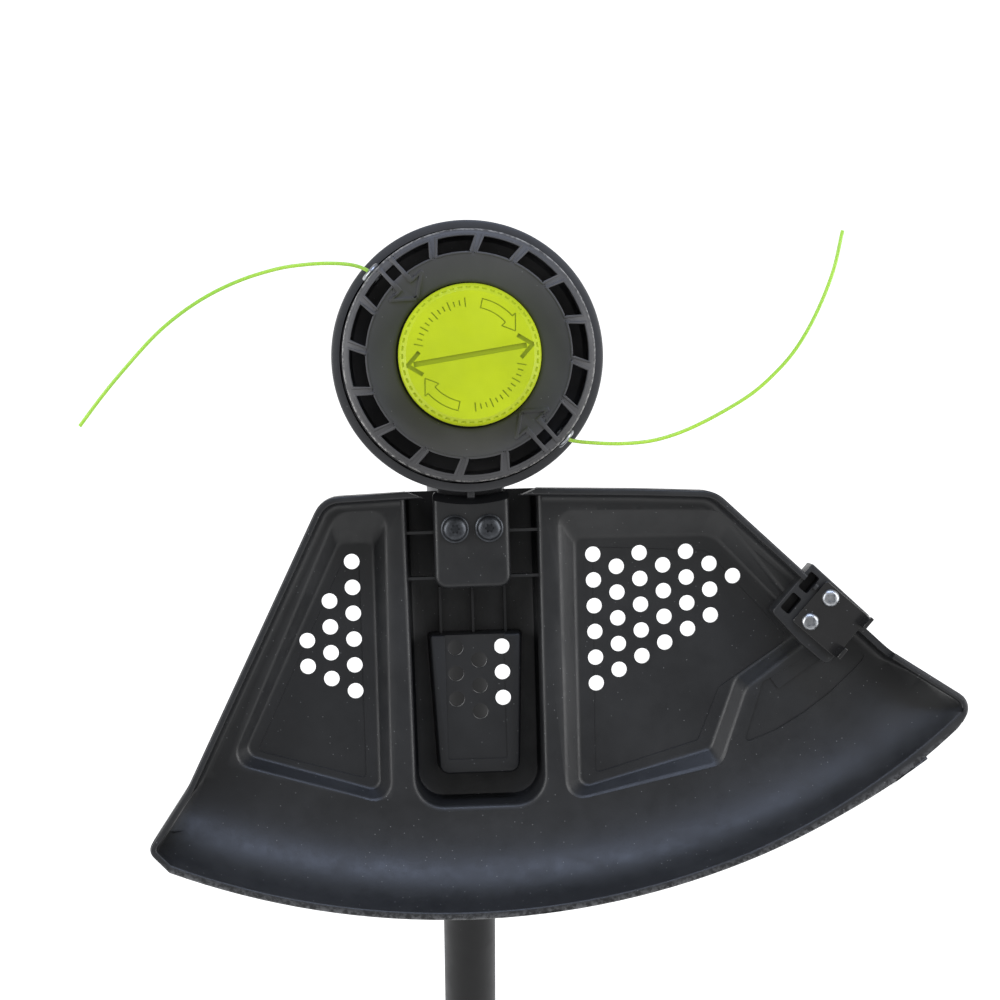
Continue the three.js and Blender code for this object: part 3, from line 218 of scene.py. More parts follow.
def surface(name, values):
    # clouds in the colour, smears in the gloss and a grain in the skin, then whatever wear, dust and painted shade
    # the values ask for
    material = bpy.data.materials.new(name)
    material.use_nodes = True
    tree = material.node_tree
    shader = tree.nodes["Principled BSDF"]
    metres = addNode(tree, "ShaderNodeTexCoord", output="Object")
    vector = addNode(tree, "ShaderNodeMapping", {"Scale": (1000, 1000, 1000)}, {"Vector": metres})
    cloud = addNode(tree, "ShaderNodeTexNoise", {"Scale": 1 / values["cloud"], "Detail": 4},
                    {"Vector": vector})
    share = addNode(tree, "ShaderNodeMapRange", {"From Min": 0.35, "From Max": 0.65}, {"Value": cloud})
    dark, light = linear(values["dark"]), linear(values["light"])
    colour = addNode(tree, "ShaderNodeMix", {"data_type": "RGBA", 6: dark, 7: light}, {0: share}, 2)
    if "about" in values:
        # the distance from an axis square to the head's face
        place = addNode(tree, "ShaderNodeMapping", {
            "vector_type": "TEXTURE", "Location": headOrigin, "Rotation": headTurn.to_euler(),
            "Scale": (millimetre,) * 3}, {"Vector": metres})
        centre = (*values["about"], 0)
        moved = addNode(tree, "ShaderNodeVectorMath", {"operation": "SUBTRACT", 1: centre}, {0: place})
        flat = addNode(tree, "ShaderNodeVectorMath", {"operation": "MULTIPLY", 1: (1, 1, 0)}, {0: moved})
        radius = addNode(tree, "ShaderNodeVectorMath", {"operation": "LENGTH"}, {0: flat}, "Value")
    if "rim" in values:
        inner, outer, patch = values["rim"]
        edge = addNode(tree, "ShaderNodeMapRange", {"From Min": inner, "From Max": outer},
                       {"Value": radius})
        patches = addNode(tree, "ShaderNodeTexNoise", {"Scale": 1 / patch, "Detail": 5, "Roughness": 0.72},
                          {"Vector": vector})
        rubbed = addNode(tree, "ShaderNodeMapRange", {"From Min": 0.44, "From Max": 0.58},
                         {"Value": patches})
        scuff = addNode(tree, "ShaderNodeMath", {"operation": "MULTIPLY"}, {0: edge, 1: rubbed})
        colour = addNode(tree, "ShaderNodeMix", {"data_type": "RGBA", 7: linear(values["worn"])},
                         {0: scuff, 6: colour}, 2)
    if "grime" in values:
        # painted shade: marks pressed in below a height, inside a radius, are coloured darker as if in shadow
        top, reach, shadeColour = values["grime"]
        height = addNode(tree, "ShaderNodeSeparateXYZ", links={0: place}, output="Z")
        below = addNode(tree, "ShaderNodeMapRange", {"From Min": top, "From Max": top - 0.06},
                        {"Value": height})
        inside = addNode(tree, "ShaderNodeMapRange", {"From Min": reach + 0.2, "From Max": reach},
                         {"Value": radius})
        shadedMarks = addNode(tree, "ShaderNodeMath", {"operation": "MULTIPLY"}, {0: below, 1: inside})
        colour = addNode(tree, "ShaderNodeMix", {"data_type": "RGBA", 7: linear(shadeColour)},
                         {0: shadedMarks, 6: colour}, 2)
    if "dust" in values:
        # specks about half a millimetre across, where a speck's middle falls on the surface
        cells = addNode(tree, "ShaderNodeTexVoronoi", {"Scale": 1 / values["dust"]}, {"Vector": vector},
                        "Distance")
        speck = addNode(tree, "ShaderNodeMapRange", {
            "From Min": 0.12 / values["dust"], "From Max": 0.26 / values["dust"], "To Min": 0.5,
            "To Max": 0},
            {"Value": cells})
        colour = addNode(tree, "ShaderNodeMix", {"data_type": "RGBA", 7: linear("#8E9091")},
                         {0: speck, 6: colour}, 2)
    tree.links.new(colour, shader.inputs["Base Color"])
    smear = addNode(tree, "ShaderNodeTexNoise",
                    {"Scale": 1 / values["smear"], "Detail": 6, "Roughness": 0.65},
                    {"Vector": vector})
    low, high = values["roughness"]
    gloss = addNode(tree, "ShaderNodeMapRange",
                    {"From Min": 0.3, "From Max": 0.7, "To Min": low, "To Max": high},
                    {"Value": smear})
    tree.links.new(gloss, shader.inputs["Roughness"])
    drawn = addNode(tree, "ShaderNodeMapping", {"Scale": values.get("brush", (1, 1, 1))},
                    {"Vector": vector})
    grain = addNode(tree, "ShaderNodeTexNoise",
                    {"Scale": 1 / values["grain"], "Detail": 3, "Roughness": 0.6},
                    {"Vector": drawn})
    bump = addNode(tree, "ShaderNodeBump", {"Strength": values["grainStrength"], "Distance": 0.0001},
                   {"Height": grain})
    tree.links.new(bump, shader.inputs["Normal"])
    for socket, value in values.get("shader", {}).items():
        shader.inputs[socket].default_value = value
    return material


# Polypropylene from a spark-eroded mould: a dry satin black that greys where light grazes it, with grass dust.
guardPolypropylene = surface("polypropyleneMouldedBlack", {
    "dark": "#17181A", "light": "#1F2022", "worn": "#5B5C5E", "cloud": 40, "smear": 9, "grain": 0.45,
    "grainStrength": 0.25, "roughness": (0.34, 0.5), "dust": 3.2, "about": (-5.6, 103.8),
    "rim": (336.5, 339.4, 2.2), "shader": {"IOR": 1.49}})
# Glass-filled nylon: a dull warm grey-black with a sandy skin, whitened where the rim has rubbed on the ground.
headNylon = surface("nylonGlassFilledMoulded", {
    "dark": "#363638", "light": "#3E3E40", "worn": "#A2A19F", "cloud": 30, "smear": 6, "grain": 0.35,
    "grainStrength": 0.3, "roughness": (0.42, 0.58), "dust": 4, "about": (0, 0), "rim": (51.7, 52.5, 1.6),
    "shader": {"IOR": 1.53}})
# The housing's nylon is a shade darker, smoother and cleaner.
housingNylon = surface("nylonHousingMoulded", {
    "dark": "#2B2C2F", "light": "#323336", "cloud": 60, "smear": 12, "grain": 0.3, "grainStrength": 0.18,
    "roughness": (0.36, 0.48), "dust": 5, "shader": {"IOR": 1.53}})
# Acetal moulded in lime green: waxy, evenly coloured, with a soft sheen and a little light inside; its pressed-in
# marks get a painted shade of darker green.
knobAcetal = surface("acetalMouldedGreen", {
    "dark": "#A4B406", "light": "#B0C00A", "cloud": 25, "smear": 8, "grain": 0.4, "grainStrength": 0.1,
    "roughness": (0.34, 0.46), "about": (0, 0), "grime": (26.63, 26.4, "#93A30A"),
    "shader": {"IOR": 1.48, "Subsurface Weight": 0.12, "Subsurface Radius": (0.0012, 0.0012, 0.0004)}})
# Thermoplastic rubber over the grips: almost no shine, with a fine pebbled skin.
gripRubber = surface("rubberOvermoulded", {
    "dark": "#131314", "light": "#1B1B1C", "cloud": 20, "smear": 7, "grain": 0.8, "grainStrength": 0.5,
    "roughness": (0.66, 0.8), "dust": 6, "shader": {"IOR": 1.5}})
# Polyester powder coat on aluminium: satin black with a faint orange peel about 1.5 mm across.
shaftPowderCoat = surface("powderCoatSatin", {
    "dark": "#0B0B0C", "light": "#101011", "cloud": 50, "smear": 14, "grain": 1.5, "grainStrength": 0.12,
    "roughness": (0.4, 0.5), "dust": 8, "shader": {"IOR": 1.5, "Specular IOR Level": 0.2}})
# PVC sheath on the motor cable: smooth, slightly soft black.
cableSheath = surface("pvcExtruded", {
    "dark": "#161616", "light": "#1C1C1C", "cloud": 15, "smear": 5, "grain": 0.6, "grainStrength": 0.1,
    "roughness": (0.42, 0.5), "shader": {"IOR": 1.53}})
# Glass-epoxy board under green solder mask: glossy with a faint weave, 0.5 mm a thread.
boardEpoxy = surface("glassEpoxyMasked", {
    "dark": "#12492C", "light": "#1A5A38", "cloud": 4, "smear": 5, "grain": 0.5, "grainStrength": 0.12,
    "roughness": (0.22, 0.32), "shader": {"IOR": 1.55}})
# PVC shrink sleeve on the cells: thin, glossy blue.
cellSleeve = surface("pvcShrunkSleeve", {
    "dark": "#2F6699", "light": "#3B78AE", "cloud": 12, "smear": 6, "grain": 3, "grainStrength": 0.1,
    "roughness": (0.22, 0.34), "shader": {"IOR": 1.53}})
# Spring steel dipped in black lacquer: deep gloss, with a lazy ripple and dust in it.
lacqueredSteel = surface("steelLacqueredBlack", {
    "dark": "#08080A", "light": "#0E0E10", "cloud": 10, "smear": 4, "grain": 2.5, "grainStrength": 0.1,
    "roughness": (0.1, 0.26), "dust": 2.6, "shader": {"IOR": 1.52, "Specular IOR Level": 0.8}})
# Zinc-plated steel: bright grey with soft blue-grey clouding and fine turning marks.
platedSteel = surface("steelZincPlated", {
    "dark": "#96999D", "light": "#BDC0C4", "cloud": 3, "smear": 2, "grain": 0.3, "brush": (1, 1, 6),
    "grainStrength": 0.15, "roughness": (0.24, 0.42), "shader": {"Metallic": 1}})
# Black oxide on machine screws: dark, oily, half metallic.
blackOxide = surface("steelBlackOxide", {
    "dark": "#3A3C40", "light": "#4E5156", "cloud": 3, "smear": 2, "grain": 0.25, "brush": (1, 1, 1),
    "grainStrength": 0.2, "roughness": (0.3, 0.45), "shader": {"Metallic": 0.85}})
# Enamelled copper wire, 0.8 mm a turn.
windingCopper = surface("copperEnamelledWound", {
    "dark": "#8F4A1E", "light": "#C0713A", "cloud": 2, "smear": 2, "grain": 0.8, "brush": (1, 1, 0.1),
    "grainStrength": 0.6, "roughness": (0.25, 0.4), "shader": {"Metallic": 1}})
# Stamped electrical steel, its 0.5 mm sheets showing as lines.
stackedSteel = surface("steelStampedLaminated", {
    "dark": "#63666B", "light": "#85888D", "cloud": 6, "smear": 4, "grain": 0.5, "brush": (0.05, 0.6, 0.8),
    "grainStrength": 0.5, "roughness": (0.35, 0.5), "shader": {"Metallic": 1}})
# Die-cast aluminium: pale, slightly grainy.
castAluminium = surface("aluminiumDieCast", {
    "dark": "#8D9094", "light": "#A8ABAF", "cloud": 8, "smear": 4, "grain": 0.6, "brush": (1, 1, 1),
    "grainStrength": 0.3, "roughness": (0.4, 0.55), "shader": {"Metallic": 1}})
# Nickel-plated magnets: mirror-like grey.
platedMagnet = surface("neodymiumNickelPlated", {
    "dark": "#85878A", "light": "#9B9DA0", "cloud": 5, "smear": 3, "grain": 0.5, "brush": (1, 1, 1),
    "grainStrength": 0.08, "roughness": (0.16, 0.26), "shader": {"Metallic": 1}})


# Extruded nylon line: clear lime with a milky core, slick, with the faint flow marks of the die along it.
lineNylon = surface("nylonExtrudedLine", {
    "dark": "#A0D44C", "light": "#B4E04A", "cloud": 60, "smear": 3, "grain": 0.5, "grainStrength": 0.1,
    "roughness": (0.2, 0.34), "shader": {"IOR": 1.53, "Subsurface Weight": 0.35,
                                         "Transmission Weight": 0.15,
                                         "Subsurface Radius": (0.001, 0.0016, 0.0005)}})
# Matt emulsion on the studio floor: white with a barely seen roller texture.
floorEmulsion = surface("emulsionRolled", {
    "dark": "#F3F3F2", "light": "#F6F6F5", "cloud": 900, "smear": 300, "grain": 6, "grainStrength": 0.2,
    "roughness": (0.88, 0.92), "shader": {"Emission Color": (1, 1, 1, 1), "Emission Strength": 0.75}})


def layFloor():
    deselectAll()
    bpy.ops.mesh.primitive_plane_add(size=studio["floorSize"],
                                     location=(0, 0, cadLow.z - studio["floorDrop"]))
    floor = bpy.context.object
    floor.name = "studioFloor"
    floor.data.materials.append(floorEmulsion)


layFloor()
print("studio ready")


# Tools for shaping: everything starts as a primitive and is drawn, pulled, spun and cut.
def startVertex(name, place):
    # a plane merged to one vertex, which the outline is then extruded from
    deselectAll()
    bpy.ops.mesh.primitive_plane_add(size=1, location=(0, 0, 0))
    piece = bpy.context.object
    piece.name = name
    bpy.ops.object.mode_set(mode="EDIT")
    bpy.ops.mesh.select_all(action="SELECT")
    bpy.ops.mesh.merge(type="CENTER")
    bpy.ops.transform.translate(value=place)
    return piece


def drawChain(name, points):
    points = [Vector(point) for point in points]
    piece = startVertex(name, points[0])
    for before, after in zip(points, points[1:]):
        bpy.ops.mesh.extrude_region_move(TRANSFORM_OT_translate={"value": after - before})
    bpy.ops.mesh.select_all(action="SELECT")
    return piece


def closeUp(piece, merge=0.004):
    bpy.ops.mesh.select_all(action="SELECT")
    bpy.ops.mesh.remove_doubles(threshold=merge)
    bpy.ops.mesh.normals_make_consistent(inside=False)
    bpy.ops.object.mode_set(mode="OBJECT")
    return piece


def slab(name, outline, low, high, along="z"):
    # a flat outline pulled straight up z, or along x with the outline's points read as (y, z)
    if along == "z":
        points, pull = [(x, y, low) for x, y in outline], (0, 0, high - low)
    else:
        points, pull = [(low, y, z) for y, z in outline], (high - low, 0, 0)
    piece = drawChain(name, points)
    bpy.ops.mesh.edge_face_add()
    bpy.ops.mesh.extrude_region_move(TRANSFORM_OT_translate={"value": pull})
    return closeUp(piece)


def stacked(name, rings):
    # rings of the same number of points, each (outline, height): the first is filled, then pulled from ring to ring
    outline, low = rings[0]
    piece = drawChain(name, [(x, y, low) for x, y in outline])
    bpy.ops.mesh.edge_face_add()
    for (before, fromHeight), (after, toHeight) in zip(rings, rings[1:]):
        bpy.ops.mesh.extrude_region_move(TRANSFORM_OT_translate={"value": (0, 0, toHeight - fromHeight)})
        shape = bmesh.from_edit_mesh(piece.data)
        for vertex in [vertex for vertex in shape.verts if vertex.select]:
            x, y, _ = vertex.co
            nearest = min(range(len(before)),
                          key=lambda i: (before[i][0] - x) ** 2 + (before[i][1] - y) ** 2)
            vertex.co = (*after[nearest], toHeight)
        bmesh.update_edit_mesh(piece.data)
    return closeUp(piece, 0.0005)


def turned(name, profile, steps=96):
    # a profile of (radius, height) corners spun round z; a profile off the axis is closed on itself
    closed = profile[0][0] > 0 or profile[-1][0] > 0
    piece = drawChain(name, [(radius, 0, height) for radius, height in profile + profile[:1] * closed])
    bpy.ops.mesh.remove_doubles(threshold=0.004)
    bpy.ops.mesh.spin(steps=steps, angle=math.tau, center=(0, 0, 0), axis=(0, 0, 1))
    return closeUp(piece)


def moveBy(piece, offset):
    deselectAll()
    piece.select_set(True)
    bpy.context.view_layer.objects.active = piece
    bpy.ops.transform.translate(value=offset)
    bpy.ops.object.transform_apply(location=True, rotation=True, scale=True)
    return piece


def turnTo(piece, matrix):
    deselectAll()
    piece.select_set(True)
    bpy.context.view_layer.objects.active = piece
    piece.matrix_world = matrix
    bpy.ops.object.transform_apply(location=True, rotation=True, scale=True)
    return piece


def turnAbout(piece, degrees, axis="Z"):
    return turnTo(piece, Matrix.Rotation(math.radians(degrees), 4, axis))


def copyOf(piece, name):
    twin = piece.copy()
    twin.data = piece.data.copy()
    twin.name = name
    bpy.context.scene.collection.objects.link(twin)
    return twin


def joined(name, pieces):
    # several loose solids as one object
    deselectAll()
    for piece in pieces:
        piece.select_set(True)
    bpy.context.view_layer.objects.active = pieces[0]
    if len(pieces) > 1:
        bpy.ops.object.join()
    pieces[0].name = name
    return pieces[0]


def combine(piece, tool, how):
    deselectAll()
    piece.select_set(True)
    bpy.context.view_layer.objects.active = piece
    boolean = piece.modifiers.new("combine", "BOOLEAN")
    boolean.operation = how
    boolean.solver = "EXACT"
    boolean.object = tool
    bpy.ops.object.modifier_apply(modifier=boolean.name)
    bpy.data.objects.remove(tool)
    return piece


def carve(piece, *tools):
    for tool in tools:
        combine(piece, tool, "DIFFERENCE")
    return piece


def weld(piece, *tools):
    for tool in tools:
        combine(piece, tool, "UNION")
    return piece


def keepWithin(piece, tool):
    return combine(piece, tool, "INTERSECT")


def soften(piece, width, segments=2, angle=30):
    # rounds every edge sharper than the angle
    deselectAll()
    piece.select_set(True)
    bpy.context.view_layer.objects.active = piece
    bevel = piece.modifiers.new("soften", "BEVEL")
    bevel.width = width
    bevel.segments = segments
    bevel.limit_method = "ANGLE"
    bevel.angle_limit = math.radians(angle)
    bevel.use_clamp_overlap = False
    bpy.ops.object.modifier_apply(modifier=bevel.name)
    return piece


def smoothTube(name, path, radius, sides=16, closed=False, rings=None):
    # a round tube along a path, as a curve turned into a mesh; rings gives each point its own share of the radius
    curve = bpy.data.curves.new(name, "CURVE")
    curve.dimensions = "3D"
    spline = curve.splines.new("POLY")
    spline.points.add(len(path) - 1)
    for i, (point, place) in enumerate(zip(spline.points, path)):
        point.co = (*place, 1)
        point.radius = rings[i] if rings else 1
    spline.use_cyclic_u = closed
    curve.bevel_depth = radius
    curve.bevel_resolution = sides // 2 - 2
    curve.use_fill_caps = not closed
    piece = bpy.data.objects.new(name, curve)
    bpy.context.scene.collection.objects.link(piece)
    deselectAll()
    piece.select_set(True)
    bpy.context.view_layer.objects.active = piece
    bpy.ops.object.convert(target="MESH")
    bpy.ops.object.mode_set(mode="EDIT")
    return closeUp(piece, 0.001)


def finishPiece(piece, place, body, material, nodes=(), smooth=32):
    turnTo(piece, place)
    bpy.ops.object.shade_smooth_by_angle(angle=math.radians(smooth))
    piece.data.materials.clear()
    piece.data.materials.append(material)
    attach(piece, body)
    if nodes:
        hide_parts(*nodes)
    return piece


# Outlines.
def roundedRing(corners, steps=6):
    # corners (x, y, radius) as a ring of points, each round corner an arc
    ring = []
    for i, (x, y, radius) in enumerate(corners):
        here = Vector((x, y))
        if not radius:
            ring.append((x, y))
            continue
        back = (Vector(corners[i - 1][:2]) - here).normalized()
        ahead = (Vector(corners[(i + 1) % len(corners)][:2]) - here).normalized()
        half = back.angle(ahead) / 2
        centre = here + (back + ahead).normalized() * radius / math.sin(half)
        start = here + back * radius / math.tan(half) - centre
        sweep = start.angle_signed(here + ahead * radius / math.tan(half) - centre)
        for k in range(steps + 1):
            spoke = start.copy()
            spoke.rotate(Matrix.Rotation(-sweep * k / steps, 2))
            ring.append(tuple(centre + spoke))
    return ring


def box(x0, y0, x1, y1, radius=0, steps=4):
    return roundedRing([(x0, y0, radius), (x1, y0, radius), (x1, y1, radius), (x0, y1, radius)], steps)


def circle(x, y, radius, count):
    return [(x + radius * math.cos(math.tau * i / count), y + radius * math.sin(math.tau * i / count))
            for i in range(count)]


def inset(ring, distance):
    # the ring pushed inwards, or outwards by a negative distance; it runs counter-clockwise
    moved = []
    for i, point in enumerate(ring):
        here = Vector(point)
        before = (Vector(ring[i - 1]) - here).normalized()
        after = (Vector(ring[(i + 1) % len(ring)]) - here).normalized()
        normal = Vector((before.y - after.y, after.x - before.x)).normalized()
        square = max(abs(normal.cross(before)), 0.5)
        moved.append(tuple(here + normal * distance / square))
    return moved


def between(low, high, share):
    # the ring part way from one outline to another with as many points
    return [(a + (c - a) * share, b + (d - b) * share) for (a, b), (c, d) in zip(low, high)]


# Guard: one moulding, a walled tray with a curled lip, two pockets and the channel that the shaft runs behind.
guardValues = {
    "back": -25, "land": -22, "wall": 2.8, "cove": 4, "sideTop": -8, "lipTop": 6, "slopeFrom": -95,
    "slopeTo": -212,
    "arcCentre": (-5.6, 103.8), "arcRadius": 339.6, "arcFrom": (-131, -212), "arcTo": (199, -166),
    "arcSteps": 44,
    "corners": [(210, -152.6, 7), (175.5, -129.6, 40), (103, -59.8, 14), (70, -58, 0), (22, -56.3, 0),
                (-18, -56.3, 0), (-63.3, -57.8, 12), (-123, -178, 40)],
    "leftTip": (-140, -202.6, 4.5),
    "lipWidth": 46, "lipThickness": 3, "curlSteps": 16,
    "pocketDepth": 8, "pocketFlare": 1.2, "pocketCove": 1.4, "step": 0.6,
    "channelTop": -50, "channelDepth": 28, "channelFlare": 2.3, "panelTop": -36,
    "holeRadius": 3.35, "holeOrigin": (1.9, -86.2), "holePitch": (10, 11.1), "holeSides": 24,
    "bossPlace": (150.6, -115.6), "bossTurn": -42.3,
}
pockets = {
    "left": {"rim": [(-36.5, -65, 6), (-57.5, -65, 10), (-105.5, -170, 7), (-37.5, -190, 7)],
             "floor": [(-42, -77.5, 4), (-57, -77.5, 5), (-100.5, -167.5, 5), (-42, -185.5, 4)],
             "step": [(-48.5, -84, 2), (-54.5, -84, 3), (-94, -166, 1.5), (-48.2, -179.3, 1.5)]},
    "right": {"rim": [(106.5, -69, 15), (37.2, -67, 6), (37.4, -191, 7), (104, -177, 6), (115.5, -145.5, 8),
                      (147.5, -123, 6)],
              "floor": [(103.5, -79, 12), (43.8, -78.5, 4), (43.2, -187, 4), (100.5, -171.5, 4),
                        (112, -141.5, 7), (143, -120.5, 5)],
              "step": [(101, -86, 8), (51.5, -83, 1.5), (50.4, -180.3, 1.5), (95, -167.5, 2.5),
                       (104.5, -145, 5),
                       (135, -125, 3)]},
}
# Holes stand column by column on one staggered grid: (column, first row, last row).
holeColumns = [(-5.35, 0, 5), (-6.35, 1.5, 4.5), (-7.35, 3, 4), (5, 0, 5), (6, 0.5, 4.5), (7, 0, 4),
               (8, 0.5, 3.5),
               (9, 0, 3), (10, 0.5, 2.5), (11, 1, 1), (-1, 3.5, 5.5), (0, 4, 6), (1, 3.5, 5.5)]


def guardRing(distance):
    # the guard's outline pushed in by a distance, its round corners growing tighter as they go in
    values = guardValues
    cx, cy = values["arcCentre"]
    start = math.atan2(values["arcFrom"][1] - cy, values["arcFrom"][0] - cx)
    end = math.atan2(values["arcTo"][1] - cy, values["arcTo"][0] - cx)
    arc = [(cx + values["arcRadius"] * math.cos(start + (end - start) * i / values["arcSteps"]),
            cy + values["arcRadius"] * math.sin(start + (end - start) * i / values["arcSteps"]), 0)
           for i in range(values["arcSteps"] + 1)]
    corners = [values["leftTip"], *arc, *values["corners"]]
    moved = inset([corner[:2] for corner in corners], distance)
    return roundedRing([(x, y, max(corner[2] - distance, 0.6) if corner[2] else 0)
                        for (x, y), corner in zip(moved, corners)])


def aroundArc(name, profile):
    return moveBy(turned(name, profile, 300), (*guardValues["arcCentre"], 0))


def curlProfile():
    # the lip's inner face: flat where it leaves the tray, nearly upright at its rim
    values = guardValues
    start = values["arcRadius"] - values["lipWidth"]
    rise = values["lipTop"] - values["land"]
    points = []
    for i in range(values["curlSteps"] + 1):
        t = i / values["curlSteps"]
        share = (1 - math.sqrt(1 - 0.94 * t * t)) / (1 - math.sqrt(0.06))
        points.append((start + (values["lipWidth"] - values["lipThickness"]) * t,
                       values["land"] + rise * share))
    return points


def guardTray():
    values = guardValues
    tray = slab("guard_moulding", guardRing(0), values["back"], values["lipTop"])
    top, side, slopeFrom, slopeTo = values["lipTop"], values["sideTop"], values["slopeFrom"], values["slopeTo"]
    carve(tray, slab("aboveWalls", [(-40, side), (slopeFrom, side), (slopeTo, top), (-260, top), (-260, 30),
                                    (-40, 30)],
                     -300, 300, "x"))
    # the hollow has a coved foot along the walls, and the curl bounds it along the lip
    land, wall, cove = values["land"], values["wall"], values["cove"]
    rings = []
    for degrees in (0, 18, 36, 54, 72, 90):
        a = math.radians(degrees)
        rings.append((guardRing(wall + cove * (1 - math.sin(a))), land + cove * (1 - math.cos(a))))
    hollow = stacked("hollow", [*rings, (guardRing(wall), top + 4)])
    curl = curlProfile()
    keepWithin(hollow, aroundArc("aboveCurl", [(120, land), *curl, (curl[-1][0], top + 8), (120, top + 8)]))
    carve(tray, hollow)
    start = values["arcRadius"] - values["lipWidth"]
    behind = [(start + 8, values["back"]), *[(r + 2.6, z - 2.4) for r, z in curl[5:-1]],
              (values["arcRadius"] - 0.4, top - 4.5), (values["arcRadius"] + 30, top - 4.5),
              (values["arcRadius"] + 30, values["back"] - 3), (start + 8, values["back"] - 3)]
    carve(tray, aroundArc("behindLip", behind))
    return soften(tray, 0.8, 3, 34)


def pocketTools(name, pocket):
    # the pocket's backing, its hollow with a flared rim and a coved foot, and the shallow step in its floor
    values = guardValues
    rim, floor = roundedRing(pocket["rim"]), roundedRing(pocket["floor"])
    land, depth, flare, cove = values["land"], values["pocketDepth"], values["pocketFlare"], values["pocketCove"]
    backing = stacked(name + "Backing", [(inset(floor, -2.4), land - depth - 2.6),
                                         (inset(rim, -2.2), land - 0.6)])
    rings = [(inset(floor, cove), land - depth), (inset(floor, 0.35 * cove), land - depth + 0.15 * cove),
             (between(floor, rim, 0.1), land - depth + 0.7 * cove),
             (between(floor, rim, 0.8), land - flare),
             (rim, land - 0.35 * flare), (inset(rim, -0.55 * flare), land),
             (inset(rim, -0.6 * flare), land + 0.6)]
    step = roundedRing(pocket["step"], 3)
    lower = stacked(name + "Step", [(step, land - depth - values["step"]),
                                    (inset(step, -0.3), land - depth + 0.4)])
    return backing, stacked(name + "Hollow", rings), lower


def channelTools():
    # one deep run with a round end, its mouth flared where it meets the land
    values = guardValues
    land, flare, top = values["land"], values["channelFlare"], values["channelTop"]
    floor = land - values["channelDepth"]
    ring = roundedRing([(-28, top, 0), (-26.6, -191.5, 12), (27.8, -191.5, 12), (28, top, 0)], 8)
    low = stacked("run", [(inset(ring, 3), floor), (inset(ring, 1.4), floor + 0.5),
                          (inset(ring, 0.6), floor + 2),
                          (ring, floor + 5), (ring, land - 1)])
    rings = []
    for degrees in (0, 22, 45, 67, 90):
        a = math.radians(degrees)
        rings.append((inset(ring, -flare * (1 - math.cos(a))), land - flare * (1 - math.sin(a))))
    flared = stacked("mouth", [(ring, land - flare - 3), *rings, (inset(ring, -flare), land + 2)])
    behind = [(-31, top - 7.6, 0), (-29.4, -194.3, 14), (30.6, -194.3, 14), (31, top - 7.6, 0)]
    return slab("runBack", roundedRing(behind, 8), floor - 3, land - 0.6), [low, flared]


def padTools():
    # the screw pad on its cross ribs, the thin ribs on the channel's floor and the raised panel below them
    values = guardValues
    floor, top = values["land"] - values["channelDepth"], values["panelTop"]
    pad = slab("pad", roundedRing([(-16.3, -98.3, 5), (16, -98.3, 5), (16, -57, 0), (-16.3, -57, 0)]), -30,
               -18.2)
    added = [soften(pad, 2.3, 5, 40)]
    for y in (-74.5, -94):
        added.append(slab("crossRib", box(-29.3, y - 0.6, 29.3, y + 0.6), -31.2, -24))
    for x in (-14, 0, 14):
        added.append(slab("floorRib", box(x - 0.55, -119, x + 0.55, -99), floor - 1.3, floor + 6))
    panel = roundedRing([(-19.2, -119.5, 1.2), (-16.2, -179.5, 4), (18, -179.5, 4), (20.4, -119.5, 1.2)])
    under = roundedRing([(-16.7, -122, 0), (-13.9, -177, 2), (15.7, -177, 2), (17.9, -122, 0)])
    island = stacked("panel", [(inset(panel, -0.9), floor - 0.7), (panel, top - 0.9),
                               (inset(panel, 0.3), top - 0.3),
                               (inset(panel, 0.8), top)])
    added.append(carve(island, slab("panelRecess", box(-12.6, -173.4, 13, -110, 0.8, 2), top - 0.7,
                                    top + 2)))
    return added, [slab("panelBehind", under, floor - 8, top - 3)]


def atBlade(piece):
    turnAbout(piece, guardValues["bossTurn"])
    return moveBy(piece, (*guardValues["bossPlace"], 0))


def bladeBossTools():
    # a raised frame with two slots and a bulging rim, which the blade is screwed down into
    back = guardValues["back"]
    boss = atBlade(slab("boss", roundedRing([(-21, -14, 2), (-3, -16, 3), (12, -16, 3), (12, 18.5, 4),
                                             (-4, 21, 6),
                                             (-21, 17, 4)]), back, -9.8))
    within = slab("bossLimit", guardRing(-5), back - 1, 6)
    soften(keepWithin(boss, within), 0.6, 3, 34)
    way = atBlade(slab("bladeWay", box(-13.2, -12.6, 30, 12.6, 0.6, 2), -9.8, 20))
    slots = [atBlade(slab("slot", box(-19.5, low, -14.6, low + 8.6, 0.8, 2), -20, 6)) for low in (-10.2,
                                                                                                  1.4)]
    return boss, [way, *slots]


def guardHoles():
    values = guardValues
    (x0, y0), (pitchX, pitchY) = values["holeOrigin"], values["holePitch"]
    holes = []
    for column, first, last in holeColumns:
        for row in range(int(last - first) + 1):
            place = (x0 + column * pitchX, y0 - (first + row) * pitchY)
            deselectAll()
            bpy.ops.mesh.primitive_cylinder_add(vertices=values["holeSides"], radius=values["holeRadius"],
                                                depth=30,
                                                location=(*place, -35))
            bpy.ops.object.transform_apply(location=True, rotation=True, scale=True)
            holes.append(bpy.context.object)
    return joined("holes", holes)


def wedgeStep():
    outline = [(122.6, -142.5, 1), (113.6, -168.9, 1.5), (128, -163.4, 0), (140, -156.4, 0),
               (151.5, -148, 0),
               (162, -138.5, 0), (168.5, -131.5, 2), (152, -129.5, 1)]
    inner = [(125.9, -141, 0.6), (129.3, -145.8, 0.6), (148.5, -132.6, 0.6), (147, -130, 0.6)]
    land = guardValues["land"]
    low = slab("wedge", roundedRing(outline, 3), land - 0.55, land + 3)
    raised = slab("wedgeInner", roundedRing(inner, 3), land - 1, land + 0.05)
    return low, raised


